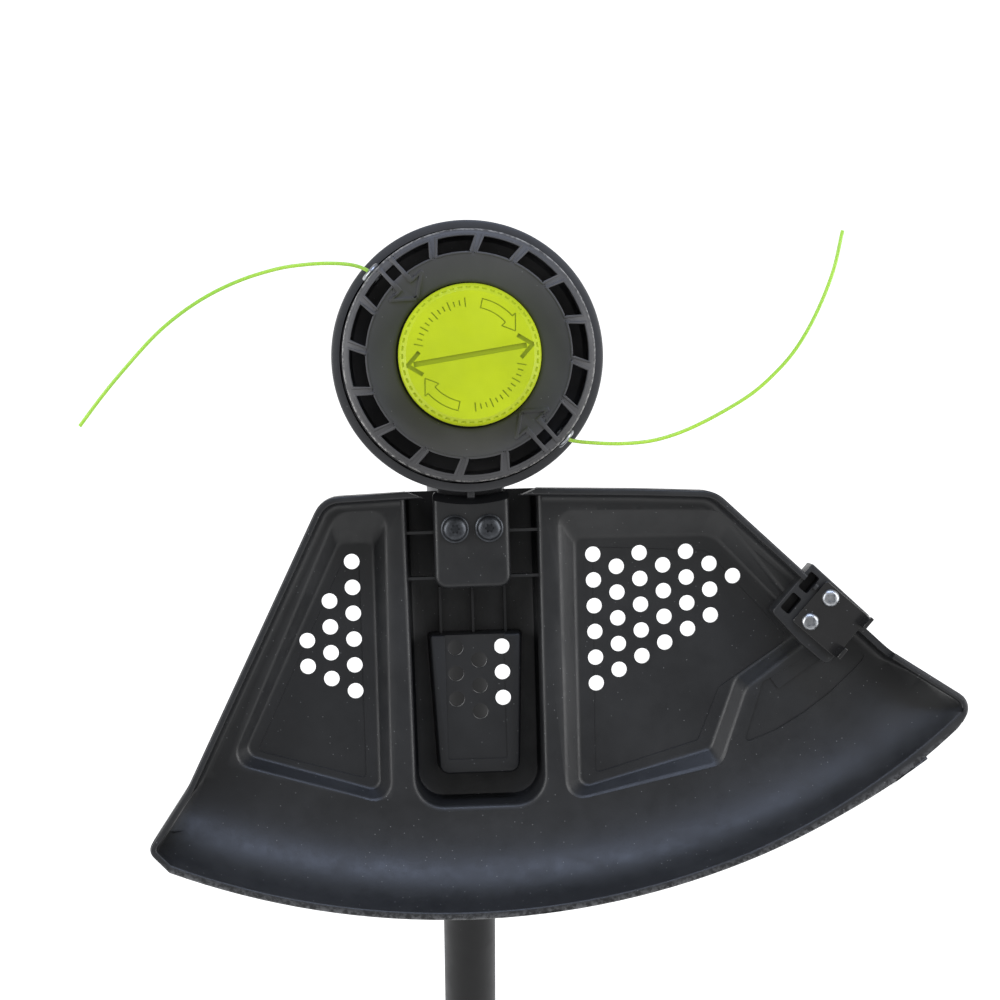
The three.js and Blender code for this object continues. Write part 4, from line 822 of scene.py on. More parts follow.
def buildGuard():
    guard = guardTray()
    hollows, steps = [], []
    for name, pocket in pockets.items():
        backing, hollow, step = pocketTools(name, pocket)
        weld(guard, backing)
        hollows.append(hollow)
        steps.append(step)
    backing, runs = channelTools()
    weld(guard, backing)
    carve(guard, *hollows, *runs, *steps)
    wedge, raised = wedgeStep()
    carve(guard, wedge)
    weld(guard, raised)
    added, removed = padTools()
    weld(guard, *added)
    boss, ways = bladeBossTools()
    weld(guard, boss)
    # the housing stands in a round notch in the top wall, and the ring above clears it
    notch = turned("notch", [(0, -60), (59.4, -60), (59.4, -24), (62.8, -20), (62.8, 20), (0, 20)], 160)
    carve(guard, *removed, *ways, notch)
    for x in (-7.3, 7.3):
        carve(guard, moveBy(turned("screwHole", [(0, -60), (2.8, -60), (2.8, 10), (0, 10)], 20),
                            (x, -73, 0)))
    for side in (-6.6, 6.6):
        hole = turned("bladeHole", [(0, -21), (2.1, -21), (2.1, 0), (0, 0)], 16)
        carve(guard, atBlade(moveBy(hole, (-6, side, 0))))
    carve(guard, guardHoles())
    return finishPiece(guard, inHead, "frame", guardPolypropylene, ["guard"], 40)


guard = buildGuard()
print("guard moulded:", len(guard.data.polygons), "faces")


# Cutting head: a cover with sixteen windows round a dished face, over a drum that the lines leave.
headValues = {
    "radius": 52.6, "drumWall": 2.5, "drumBack": -12, "bore": 4.3, "windows": 16, "windowInner": 43,
    "windowOuter": 49.6, "windowWidth": 0.31, "slant": -0.045, "frame": 0.9, "proud": 0.45,
    "arrowAngle": 131,
    "arrowLane": 4.1, "arrowWindow": (43.5, 48.7, 2.4), "eyeletAngle": 138,
}
# The cover's outer face, from the rim's foot over the shoulder and the dish to the knob's hole.
coverFace = [(52.6, 5.3), (52.6, 8.4), (52.3, 9.2), (51.7, 9.9), (51, 10.4), (44, 12.2), (43, 12.45),
             (42, 12.55),
             (41, 12.4), (39.8, 12.05), (33, 10.75), (31.9, 10.6), (30.9, 10.4), (30.3, 9.9)]


def polar(radius, angle):
    return (radius * math.cos(angle), radius * math.sin(angle))


def windowRing(middle, width, slant, grow=0):
    # one window between two slanted ribs, its sides arcs about the spin axis
    values = headValues
    inner, outer = values["windowInner"] - grow, values["windowOuter"] + grow
    steps = 4
    ring = []
    for i in range(steps + 1):
        share = i / steps - 0.5
        ring.append(polar(inner, middle + (width + 2 * grow / inner) * share))
    for i in range(steps, -1, -1):
        share = i / steps - 0.5
        ring.append(polar(outer, middle + slant + (width + 2 * grow / outer) * share))
    return ring


def windowSolids(grow, low, high):
    # the ring of windows, kept clear of the two lanes that the arrows' stems run in
    values = headValues
    count, lane = values["windows"], values["arrowLane"] - grow
    arrow = math.radians(values["arrowAngle"])
    rings = [windowRing(arrow + math.tau / count * (i + 0.5), values["windowWidth"], values["slant"], grow)
             for i in range(count)]
    windows = joined("windows", [slab("window", ring, low, high) for ring in rings])
    return carve(windows, turnAbout(slab("lanes", box(-60, -lane, 60, lane), low - 1, high + 1),
                                    values["arrowAngle"]))


def coverBand(name, lift, inner, outer):
    # a skin that stands a little proud of the cover's face between two radii
    face = [(r, z) for r, z in coverFace if inner <= r <= outer]
    return turned(name, [(face[0][0], 7)] + [(r, z + lift) for r, z in face] + [(face[-1][0], 7)], 128)


def ribAlong(name, start, end, width, low, high):
    start, end = Vector(start), Vector(end)
    side = (end - start).orthogonal().normalized() * width / 2
    ring = [tuple(start - side), tuple(end - side), tuple(end + side), tuple(start + side)]
    return slab(name, ring if side.cross(end - start) < 0 else ring[::-1], low, high)


def buildCover():
    values = headValues
    under = [(30.3, 8.6), (41, 10), (42.4, 10), (50.2, 6.6), (50.2, 5.3)]
    cover = turned("head_cover_moulding", under + coverFace, 192)
    weld(cover, keepWithin(coverBand("frameBand", values["proud"], 41, 51.8),
                           windowSolids(values["frame"], 6, 16)))
    # an arrow at each side, pointing in at the knob: two ribs for the stem and three for the head
    inner, outer, half = values["arrowWindow"]
    stemAt = (half + values["arrowLane"]) / 2
    arrows = []
    for side in (1, -1):
        for start, end, width in (((31.6, 0), (38.8, 9.1), 1.4), ((38.7, 9.1), (38.7, stemAt), 1.2),
                                  ((38.2, stemAt), (51.5, stemAt), values["arrowLane"] - half + 0.2)):
            arrows.append(ribAlong("arrowRib", (start[0], side * start[1]), (end[0], side * end[1]), width,
                                   8, 14))
    arrow = arrows[0]
    weld(arrow, *arrows[1:])
    turnAbout(arrow, values["arrowAngle"])
    opposite = turnAbout(copyOf(arrow, "arrow"), 180)
    arrow = keepWithin(coverBand("arrowBand", 0.65, 30.5, 51.8), joined("arrow", [arrow, opposite]))
    weld(cover, arrow)
    smallWindows = [slab("small", box(inner, -half, outer, half, 0.4, 2), 4, 16),
                    slab("small", box(-outer, -half, -inner, half, 0.4, 2), 4, 16)]
    carve(cover, windowSolids(0, 4, 16), turnAbout(joined("small", smallWindows), values["arrowAngle"]))
    soften(cover, 0.22, 2, 40)
    return finishPiece(cover, inHead, "cutting_head", headNylon, ["head_cover"], 38)


def buildDrum():
    # the drum below the cover, its wall ribbed round the back where it fans the motor
    values = headValues
    radius, wall, back = values["radius"], values["drumWall"], values["drumBack"]
    bore = values["bore"]
    drum = turned("head_drum", [(bore, back), (radius - 3, back), (radius - 1.2, back + 0.6),
                                (radius - 0.3, back + 1.6),
                                (radius, back + 3), (radius, 3.6), (radius - 0.7, 4), (radius - 0.7, 4.6),
                                (radius, 5), (radius - wall, 5), (radius - wall, back + wall + 1.5),
                                (radius - wall - 1.5, back + wall), (bore, back + wall)], 192)
    tools = []
    for turn in (0, 180):
        hole = turnAbout(turned("eyeletHole", [(0, radius - 8), (3.3, radius - 8), (3.3, radius + 4),
                                               (0, radius + 4)], 32),
                         90, "Y")
        tools.append(turnAbout(hole, values["eyeletAngle"] + turn))
    grip = slab("gripGroove", box(radius - 0.6, -0.8, radius + 2, 0.8, 0.3, 2), back - 1, -6)
    for i in range(36):
        tools.append(turnAbout(copyOf(grip, "gripGroove"), i * 10 + 5))
    bpy.data.objects.remove(grip)
    carve(drum, joined("drumTools", tools))
    soften(drum, 0.2, 2, 40)
    return finishPiece(drum, inHead, "cutting_head", headNylon, ["head_case"], 38)


def buildEyelets():
    # pressed steel eyelets with a rolled outer lip
    profile = [(1.7, -3.4), (3, -3.4), (3, 0.3), (4.4, 0.35), (4.6, 0.6), (4.6, 1.1), (4.2, 1.7), (3.4, 2),
               (2.5, 1.95), (1.9, 1.6), (1.7, 1)]
    for number, turn in ((1, 0), (2, 180)):
        eyelet = turnAbout(turned("line_eyelet_%d_pressed" % number, profile, 40), 90, "Y")
        moveBy(eyelet, (headValues["radius"], 0, 0))
        turnAbout(eyelet, headValues["eyeletAngle"] + turn)
        finishPiece(eyelet, inHead, "cutting_head", platedSteel, ["line_eyelet_%d" % number], 50)


buildCover()
buildDrum()
buildEyelets()
for line in cuttingLines:
    line.data.materials.append(lineNylon)
print("cutting head built")


# Bump knob.
knobValues = {
    "radius": 29.4, "foot": 6.3, "face": 26.7, "wall": 2.6, "stem": 9.6, "notches": 52, "notchRadius": 27.9,
    "arrowHalf": 26, "arrowTilt": 8.3, "arrowDepth": 0.9, "engrave": 0.35, "markRadius": 21.5, "ticks": 13,
}


def knobArrow():
    # a double-headed arrow pressed in across the face, turned a little from the level
    values = knobValues
    half, low, high = values["arrowHalf"], values["face"] - values["arrowDepth"], values["face"] + 2
    stem = slab("stem", box(2.5 - half, -1.2, half - 2.5, 1), low, high)
    for side in (-1, 1):
        tip, wing = Vector((side * half, -0.1)), side * (half - 5.6)
        for rise in (4.6, -4.8):
            end = Vector((wing, rise))
            weld(stem, ribAlong("arrowHead", tip + (tip - end).normalized() * 0.3, end, 1.7, low,
                                high - 0.02))
    return turnAbout(stem, values["arrowTilt"])


def curvedArrow(turn):
    # an outlined arrow bent round the face, pressed in: two arcs, a flat tail and an open head
    values = knobValues
    low, high = values["face"] - values["engrave"], values["face"] + 2
    width = 0.45
    start, end = math.radians(76 + turn), math.radians(41 + turn)
    pieces = []
    for radius in (values["markRadius"] - 1.9, values["markRadius"] + 1.9):
        arc = [start + (end - start) * i / 10 for i in range(11)]
        ring = [polar(radius + width / 2, a) for a in arc] + [polar(radius - width / 2,
                                                                    a) for a in reversed(arc)]
        pieces.append(slab("arc", ring[::-1], low, high))
    pieces.append(ribAlong("tail", polar(values["markRadius"] - 2.1, start),
                           polar(values["markRadius"] + 2.1, start),
                           width, low, high - 0.01))
    tip = polar(values["markRadius"] - 0.6, end - math.radians(15))
    for radius in (values["markRadius"] - 4, values["markRadius"] + 3.6):
        wing = polar(radius, end)
        pieces.append(ribAlong("barb", wing, tip, width, low, high - 0.02))
        pieces.append(ribAlong("shoulder", wing,
                               polar(values["markRadius"] + math.copysign(1.9,
                                                                          radius - values["markRadius"]),
                                                                          end),
                               width, low, high - 0.03))
    return pieces


def tickMarks(fromDegrees, toDegrees):
    # plain tick bars round the face, pressed in
    values = knobValues
    low, high = values["face"] - values["engrave"], values["face"] + 2
    bars = []
    for i in range(values["ticks"]):
        angle = math.radians(fromDegrees + (toDegrees - fromDegrees) * i / (values["ticks"] - 1))
        reach = 1.9 if i % 3 == 0 else 1.1
        bars.append(ribAlong("tick", polar(values["markRadius"] - reach, angle),
                             polar(values["markRadius"] + reach, angle),
                             0.5, low, high))
    return bars


def buildKnob():
    values = knobValues
    radius, foot, face, wall, stem = (values[key] for key in ("radius", "foot", "face", "wall", "stem"))
    shell = [(0, foot), (stem, foot), (stem, face - wall - 3), (stem + 1.5, face - wall - 1.5),
             (radius - wall - 2, face - wall - 3),
             (radius - wall, face - wall - 5), (radius - wall, foot), (radius - 0.3, foot),
             (radius, foot + 0.4),
             (radius, face - 4), (radius - 0.35, face - 2.9), (radius - 1, face - 1.9),
             (radius - 1.7, face - 1.2),
             (radius - 2.3, face - 0.75), (radius - 2.6, face - 0.3), (radius - 3, face), (0, face)]
    knob = turned("bump_knob_cap", shell, 160)
    notch = slab("notch", box(values["notchRadius"] - 0.55, -1, values["notchRadius"] + 0.6, 1, 0.3, 2),
                 face - 1.8,
                 face + 2)
    cuts = [turnAbout(copyOf(notch, "notch"),
                      360 * i / values["notches"]) for i in range(values["notches"])]
    bpy.data.objects.remove(notch)
    carve(knob, joined("notches", cuts))
    marks = curvedArrow(0) + curvedArrow(180)
    whole = marks[0]
    for mark in marks[1:]:
        weld(whole, mark)
    ticks = joined("ticks", tickMarks(94, 168) + tickMarks(274, 348))
    carve(knob, whole, ticks, knobArrow())
    return finishPiece(knob, inHead, "spool_and_knob", knobAcetal, ["bump_knob"], 34)


buildKnob()
print("knob built")


# Motor housing: a bell round the drum, with vents, and a neck that takes the shaft.
housingValues = {
    "radius": 57.5, "wall": 3.5, "mouth": -13.5, "top": -58, "dome": -78, "vents": 7,
}
shaftAngle = 90 - math.degrees(headTurn.angle)  # between the shaft and the head's plane
axesMeet = -Vector((0, 0, 1)).dot(headTurn.inverted() @ (headOrigin - Vector((0, 0, 0.7)))) / millimetre


def alongShaft(piece):
    # from a piece whose z runs down the shaft, starting where the two axes meet
    turnAbout(piece, 90 + shaftAngle, "X")
    return moveBy(piece, (0, 0, axesMeet))


def buildHousing():
    values = housingValues
    radius, wall, mouth, top, dome = (values[key] for key in ("radius", "wall", "mouth", "top", "dome"))
    outer = [(0, mouth), (radius - 0.9, mouth), (radius - 0.25, mouth - 0.3), (radius, mouth - 0.9),
             (radius, mouth - 5),
             (radius - 0.4, mouth - 6.4), (56.2, mouth - 20), (55, mouth - 28), (52.6, -54), (50, -60),
             (46.5, -65.5),
             (41, -70), (33, -74), (24, -76.8), (12, -77.8), (0, dome)]
    housing = turned("motor_housing_bell", outer, 192)
    groove = turned("seam", [(56.4, -21), (60, -21), (60, -22), (56.4, -22)], 192)
    carve(housing, groove)
    neck = turned("neck", [(0, -8), (19, -8), (19, 34), (18.8, 40), (17.4, 74), (16.7, 86), (16.7, 91),
                           (16.2, 92.2),
                           (16.2, 94), (16.7, 95), (16.7, 97), (16.1, 98), (0, 98)], 96)
    weld(housing, alongShaft(neck))
    rib = slab("neckRib", roundedRing([(-74, -70, 0), (-20, -62, 0), (-20, -20, 0), (-60, -20, 0)]), -1.6,
               1.6, "x")
    weld(housing, soften(rib, 0.5, 2, 40))
    bracket = slab("bracket", box(-14, -97, 14, -40, 3), -36, -29.8)
    stiffener = slab("bracketRib", box(-4, -94, 4, -40, 1), -46, -35)
    reach = turned("bracketReach", [(0, -60), (50, -60), (50, -10), (0, -10)], 64)
    weld(bracket, stiffener)
    carve(bracket, reach)
    weld(housing, soften(bracket, 0.7, 2, 40))
    inside = [(0, mouth + 1), (radius - wall, mouth + 1), (radius - wall, mouth - 6),
              (56 - wall, mouth - 26),
              (51 - wall, top + 1), (47, top), (0, top)]
    bore = alongShaft(turned("shaftBore", [(0, 24.5), (13.35, 24.5), (13.35, 99), (0, 99)], 64))
    way = smoothTube("cableWay", smoothThrough([(0, 19, -52.6), (0, 18.5, -57), (0, 11, -65),
                                                (0, -6, -70.5),
                                                (0, -20.5, -76.4), (0, -36.9, -87.8)], 4), 3.8, 16)
    vents = []
    for i in range(values["vents"]):
        vent = soften(slab("vent", box(44, -1.5, 62, 1.5, 1.4, 4), top + 2, mouth - 24), 0.3, 2)
        vents.append(turnAbout(vent, 180 * (0.03 + 0.94 * i / (values["vents"] - 1))))
    carve(housing, turned("cavity", inside, 128), bore, way, joined("vents", vents))
    for side in (-7.3, 7.3):
        carve(housing, moveBy(turned("screwHole", [(0, -37), (2.8, -37), (2.8, -28), (0, -28)], 24),
                              (side, -73, 0)))
    return finishPiece(housing, inHead, "frame", housingNylon, ["motor_housing"], 34)


buildHousing()
print("housing built")


# Screws and the line cutter.
screwValues = {
    "guardPlaces": [(-7.3, -73), (7.3, -73)], "guardSeat": -18.2, "bladeAlong": -6, "bladeAcross": 6.6,
}


def screwHead(name, profile, recess, lobes, depth, top):
    # a turned screw with a recess of so many lobes pressed into its head
    screw = turned(name, profile, 48)
    ring = []
    for i in range(lobes * 8):
        angle = math.tau * i / (lobes * 8)
        ring.append(polar(recess * (0.82 + 0.18 * math.cos(lobes * angle)), angle))
    return carve(screw, slab("recess", ring, top - depth, top + 2))


def buildScrews():
    washerHead = [(0, -14), (1.9, -14), (2.5, -13), (2.5, 0.3), (5.7, 0.3), (6, 0.6), (6, 1.1), (5.7, 1.4),
                  (5.3, 1.5),
                  (5.1, 2.1), (4.6, 2.8), (3.8, 3.3), (2.6, 3.6), (0, 3.7)]
    for number, (x, y) in enumerate(screwValues["guardPlaces"], 1):
        screw = screwHead("guard_screw_%d_oxide" % number, washerHead, 2.1, 6, 2, 3.7)
        moveBy(screw, (x, y, screwValues["guardSeat"]))
        finishPiece(screw, inHead, "frame", blackOxide, ["guard_screw_%d" % number], 40)
    panHead = [(0, -10), (1.2, -10), (1.8, -9), (1.8, 0.3), (3.6, 0.3), (3.7, 0.6), (3.6, 1.2), (3.1, 1.8),
               (2.3, 2.15),
               (0, 2.2)]
    for number, side in ((1, -1), (2, 1)):
        screw = screwHead("blade_screw_%d_plated" % number, panHead, 2.1, 4, 1.3, 2.2)
        moveBy(screw, (screwValues["bladeAlong"], side * screwValues["bladeAcross"], -9.5 + 1.6))
        finishPiece(atBlade(screw), inHead, "frame", platedSteel, ["blade_screw_%d" % number], 40)


def buildBlade():
    # folded spring steel: a plate with two ears turned up at its outer end
    length, width, back, top, ear = 24, 22.6, -9.5, -7.9, 6
    plate = slab("line_cutter_plate", roundedRing([(-length / 2, -width / 2, 1.2),
                                                   (length / 2, -width / 2, 0.6),
                 (length / 2, width / 2, 0.6), (-length / 2, width / 2, 1.2)]), back, top)
    for side in (-1, 1):
        hole = turned("hole", [(0, -12), (2.1, -12), (2.1, 0), (0, 0)], 24)
        carve(plate, moveBy(hole, (-6, side * 6.6, 0)))
    soften(plate, 0.3, 3, 40)
    for side in (-1, 1):
        middle = side * 8.4
        bent = soften(slab("ear", box(length / 2 - 1.8, middle - 2.7, length / 2 - 0.2, middle + 2.7),
                           back + 0.35, ear), 0.3, 3)
        weld(plate, bent)
    return finishPiece(atBlade(plate), inHead, "frame", lacqueredSteel,
                       ["line_cutter_blade"], 38)


buildScrews()
buildBlade()
print("screws and cutter built")


# The shaft is one drawn tube, its ends faced and lightly broken.
shaftValues = {"radius": 13, "wall": 1.5, "low": -520, "high": 675}


def buildShaft():
    radius, wall, low, high = shaftValues.values()
    tube = turned("shaft_tube_drawn", [(radius - wall, low), (radius - 0.3, low), (radius, low + 0.4),
                                       (radius, high - 0.4), (radius - 0.3, high), (radius - wall, high)],
                                       96)
    return finishPiece(tube, inRow, "frame", shaftPowderCoat, ["shaft_tube"], 30)


# The loop handle: a rubber-covered arch on a split block that two bolts clamp to the shaft.
loopValues = {
    "z": -170, "tubeRadius": 11.5, "side": 54.5, "top": 110.5, "lean": 15, "leanAbout": 12, "ribs": 46,
    "ribHeight": 0.5, "baseHalf": 34, "baseReach": 25, "clampReach": 22, "split": 0.5, "lengthHalf": 17,
    "seat": 13.3, "boltAcross": 24, "boltHole": 3.3, "headHole": 6,
}


def atLoop(piece):
    return moveBy(piece, (0, 0, loopValues["z"]))


def alongY(piece):
    # turns a piece made on z so that its z points along y
    return turnAbout(piece, -90, "X")


def clampBlock(name, near, far):
    # half of the clamp, between two distances from the shaft's axis, with its saddle and bolt holes
    values = loopValues
    half = values["lengthHalf"]
    low, high = min(near, far), max(near, far)
    block = slab(name, box(-values["baseHalf"], low, values["baseHalf"], high, 5, 6), -half, half)
    soften(block, 1.6, 4, 40)
    saddle = turned("saddle", [(0, -30), (values["seat"], -30), (values["seat"], 30), (0, 30)], 64)
    waist = slab("waist", box(-10, far - 2.5, 10, far + 2.5, 1.5, 3), -half + 4, half - 4)
    holes = [alongY(turned("boltHole", [(0, low - 5), (values["boltHole"], low - 5),
                                        (values["boltHole"], high + 5),
                                        (0, high + 5)], 24)) for _ in range(2)]
    moveBy(holes[0], (values["boltAcross"], 0, 0))
    moveBy(holes[1], (-values["boltAcross"], 0, 0))
    return carve(block, saddle, waist, *holes)


def buildLoopHandle():
    values = loopValues
    side, top = values["side"], values["top"]
    half = [(22, 14, 0), (40, 24, 0), (side - 2, 46, 0), (side, 78, 0), (side - 16, top - 8, 0),
            (20, top, 0)]
    path = smoothThrough([(-x, y, z) for x, y, z in half] + half[::-1], 24)
    total = lengthOf(path)
    gone, radii = 0, []
    for before, after in zip([path[0], *path], path):
        gone += (after - before).length
        share = gone / total
        # the grip's ribs run across the top of the arch and fade out down its sides
        fade = min(max((0.34 - abs(share - 0.5)) / 0.04, 0), 1)
        ridge = 0.5 + 0.5 * math.cos(math.tau * share * values["ribs"])
        radii.append(1 - (values["ribHeight"] * (1 - ridge * fade)) / values["tubeRadius"])
    arch = smoothTube("loop_handle_grip", path, values["tubeRadius"], 32, rings=radii)
    moveBy(arch, (0, -values["leanAbout"], 0))
    turnAbout(arch, values["lean"], "X")
    moveBy(arch, (0, values["leanAbout"], 0))
    base = clampBlock("loop_handle_base", values["split"], values["baseReach"])
    clear = turned("clear", [(0, -40), (values["seat"] + 0.4, -40), (values["seat"] + 0.4, 40), (0, 40)],
                   48)
    carve(arch, clear)
    for across in (-values["boltAcross"], values["boltAcross"]):
        for piece in (arch, base):
            well = alongY(turned("headHole", [(0, values["baseReach"]),
                                              (values["headHole"], values["baseReach"]),
                                              (values["headHole"], 50), (0, 50)], 32))
            shank = alongY(turned("shank", [(0, 0), (values["boltHole"], 0), (values["boltHole"], 40),
                                            (0, 40)], 24))
            carve(piece, moveBy(well, (across, 0, 0)), moveBy(shank, (across, 0, 0)))
    finishPiece(atLoop(arch), inRow, "front_handle", gripRubber, ["front_handle_loop"], 40)
    finishPiece(atLoop(base), inRow, "front_handle", housingNylon, (), 40)
    clamp = clampBlock("loop_handle_clamp", -values["split"], -values["clampReach"])
    finishPiece(atLoop(clamp), inRow, "front_handle", housingNylon,
                ["front_handle_clamp"], 40)


def buildClampBolts():
    # socket-head bolts; the first runs on into the knob
    for number, across, end in ((1, 24, -31.5), (2, -24, -20)):
        profile = [(0, end), (2.6, end), (3, end + 0.5), (3, 25.3), (5.2, 25.3), (5.4, 25.5), (5.4, 29.4),
                   (4.9, 30),
                   (0, 30)]
        bolt = turned("clamp_bolt_%d_plated" % number, profile, 48)
        carve(bolt, slab("hexSocket", circle(0, 0, 2.9, 6), 27, 32))
        finishPiece(atLoop(moveBy(alongY(bolt), (across, 0, 0))), inRow, "front_handle",
                    platedSteel,
                    ["clamp_bolt_%d" % number], 38)


def buildClampKnob():
    # a six-lobed knob, dished on its face
    knob = turned("clamp_knob_body", [(0, -35), (9, -35), (11, -34.4), (11.5, -33), (11.5, -22.4),
                                      (0, -22.4)], 64)
    for i in range(6):
        lobe = turned("lobe", [(0, -35), (4.2, -35), (4.8, -34.6), (5, -33.8), (5, -24), (4.6, -23),
                               (0, -23)], 32)
        weld(knob, moveBy(lobe, (*polar(11, math.tau * i / 6), 0)))
    bore = turned("bore", [(0, -33), (3.3, -33), (3.3, -20), (0, -20)], 24)
    dish = turned("dish", [(0, -33.8), (6.6, -33.8), (7.6, -36), (0, -36)], 48)
    carve(knob, bore, dish)
    soften(knob, 0.5, 3, 40)
    finishPiece(atLoop(moveBy(alongY(knob), (24, 0, 0))), inRow, "clamp_knob",
                housingNylon,
                ["clamp_knob"], 40)


# The strap's ring hangs from a band clipped round the shaft.
strapValues = {"z": -455, "inner": 13.3, "outer": 16.4, "half": 9, "lugY": 23, "wire": 2, "ringHalf": 17,
               "drop": 27}


def buildStrap():
    inner, outer, half = strapValues["inner"], strapValues["outer"], strapValues["half"]
    lugY, wire, w, d = (strapValues[key] for key in ("lugY", "wire", "ringHalf", "drop"))
    band = turned("strap_band", [(inner, -half), (outer - 0.6, -half), (outer, -half + 0.6),
                                 (outer, half - 0.6),
                                 (outer - 0.6, half), (inner, half)], 96)
    groove = turned("groove", [(outer - 0.7, -3), (outer + 1, -3), (outer + 1, 3), (outer - 0.7, 3)], 96)
    carve(band, groove)
    lug = soften(slab("lug", box(-4, 14, 4, lugY + 7, 2.5, 5), -8, 8), 1, 3, 40)
    carve(lug, turned("lugWay", [(0, -20), (14, -20), (14, 20), (0, 20)], 64))
    weld(band, lug)
    eye = turnAbout(turned("eye", [(0, -10), (wire + 0.6, -10), (wire + 0.6, 10), (0, 10)], 32), 90, "Y")
    carve(band, moveBy(eye, (0, lugY, 0)))
    finishPiece(moveBy(band, (0, 0, strapValues["z"])), inRow, "frame", housingNylon,
                ["strap_bracket"], 38)
    side = [(w - 5, 0, 0), (w, 0, -5), (w - 2, 0, 7 - d), (w - 8, 0, -d)]
    loop = [(0, 0, 0), *side, (0, 0, -d - 1), *[(-x, y, z) for x, y, z in side[::-1]]]
    ring = smoothTube("strap_ring_bent", smoothThrough(loop, 12, True), wire, 20, True)
    finishPiece(moveBy(ring, (0, lugY, strapValues["z"])), inRow, "strap_ring", platedSteel,
                ["strap_ring"], 50)


# The rear handle: two shells that meet on the middle plane, thin at the grip and square at the battery's dock.
rearValues = {
    "wall": 3, "seam": 0.15, "sides": 72, "perSpan": 6, "seat": 13.3, "gripFrom": -588, "gripTo": -690,
    "screws": [(12, -540), (-10, -655), (12, -668)], "screwSeat": 17.5, "ventPitch": 7,
    # height, centre y, half width, half depth, squareness
    "sections": [(-505, 0, 19, 19, 2), (-530, 0, 20, 21, 2), (-548, 0, 19.5, 24, 2.2),
                 (-565, 0, 19, 26, 2.3),
                 (-582, 1, 18, 25, 2.3), (-600, 1, 18, 20, 2.3), (-640, 2, 18.5, 19, 2.3),
                 (-680, 2, 20, 21, 2.4),
                 (-708, 1, 32, 35, 3), (-730, 0, 43, 48, 4.5), (-758, 0, 45, 50, 6),
                 (-825, 0, 45.5, 50.5, 6)],
}


def eased(sections, perSpan):
    # more sections between the given ones, on smooth curves that never pass a section's own value
    slopes = []
    for i in range(len(sections)):
        before, here, after = sections[max(i - 1, 0)], sections[i], sections[min(i + 1, len(sections) - 1)]
        slope = [0]
        for k in range(1, len(here)):
            back = (here[k] - before[k]) / (here[0] - before[0]) if i else 0
            ahead = (after[k] - here[k]) / (after[0] - here[0]) if after is not here else 0
            slope.append(2 * back * ahead / (back + ahead) if back * ahead > 0 else 0)
        slopes.append(slope)
    rows = []
    for i in range(len(sections) - 1):
        here, after, span = sections[i], sections[i + 1], sections[i + 1][0] - sections[i][0]
        for step in range(perSpan):
            t = step / perSpan
            row = [here[0] + span * t]
            for k in range(1, len(here)):
                row.append((2 * t ** 3 - 3 * t ** 2 + 1) * here[k] + (t ** 3 - 2 * t ** 2 + t) * span * slopes[i][k]
                           + (3 * t ** 2 - 2 * t ** 3) * after[k] + (t ** 3 - t ** 2) * span * slopes[i + 1][k])
            rows.append(row)
    return [*rows, list(sections[-1])]


def handleSkin(name, shrink, low, high, sides=None):
    # a closed solid through the handle's sections between two heights, pushed in by a distance
    rows = [row for row in eased(rearValues["sections"], rearValues["perSpan"]) if low <= row[0] <= high]
    sides = sides or rearValues["sides"]
    rings = []
    for z, middle, halfX, halfY, power in sorted(rows):
        ring = []
        for i in range(sides):
            a = math.tau * i / sides
            c, s = math.cos(a), math.sin(a)
            ring.append((math.copysign(abs(c) ** (2 / power), c) * (halfX - shrink),
                         middle + math.copysign(abs(s) ** (2 / power), s) * (halfY - shrink)))
        rings.append((ring, z))
    return stacked(name, rings)


def rod(name, radius, low, high, steps=32):
    return turned(name, [(0, low), (radius, low), (radius, high), (0, high)], steps)


def across(piece, y, z):
    # turns a piece made on z to lie along x at a height of the handle
    return moveBy(turnAbout(piece, 90, "Y"), (0, y, z))


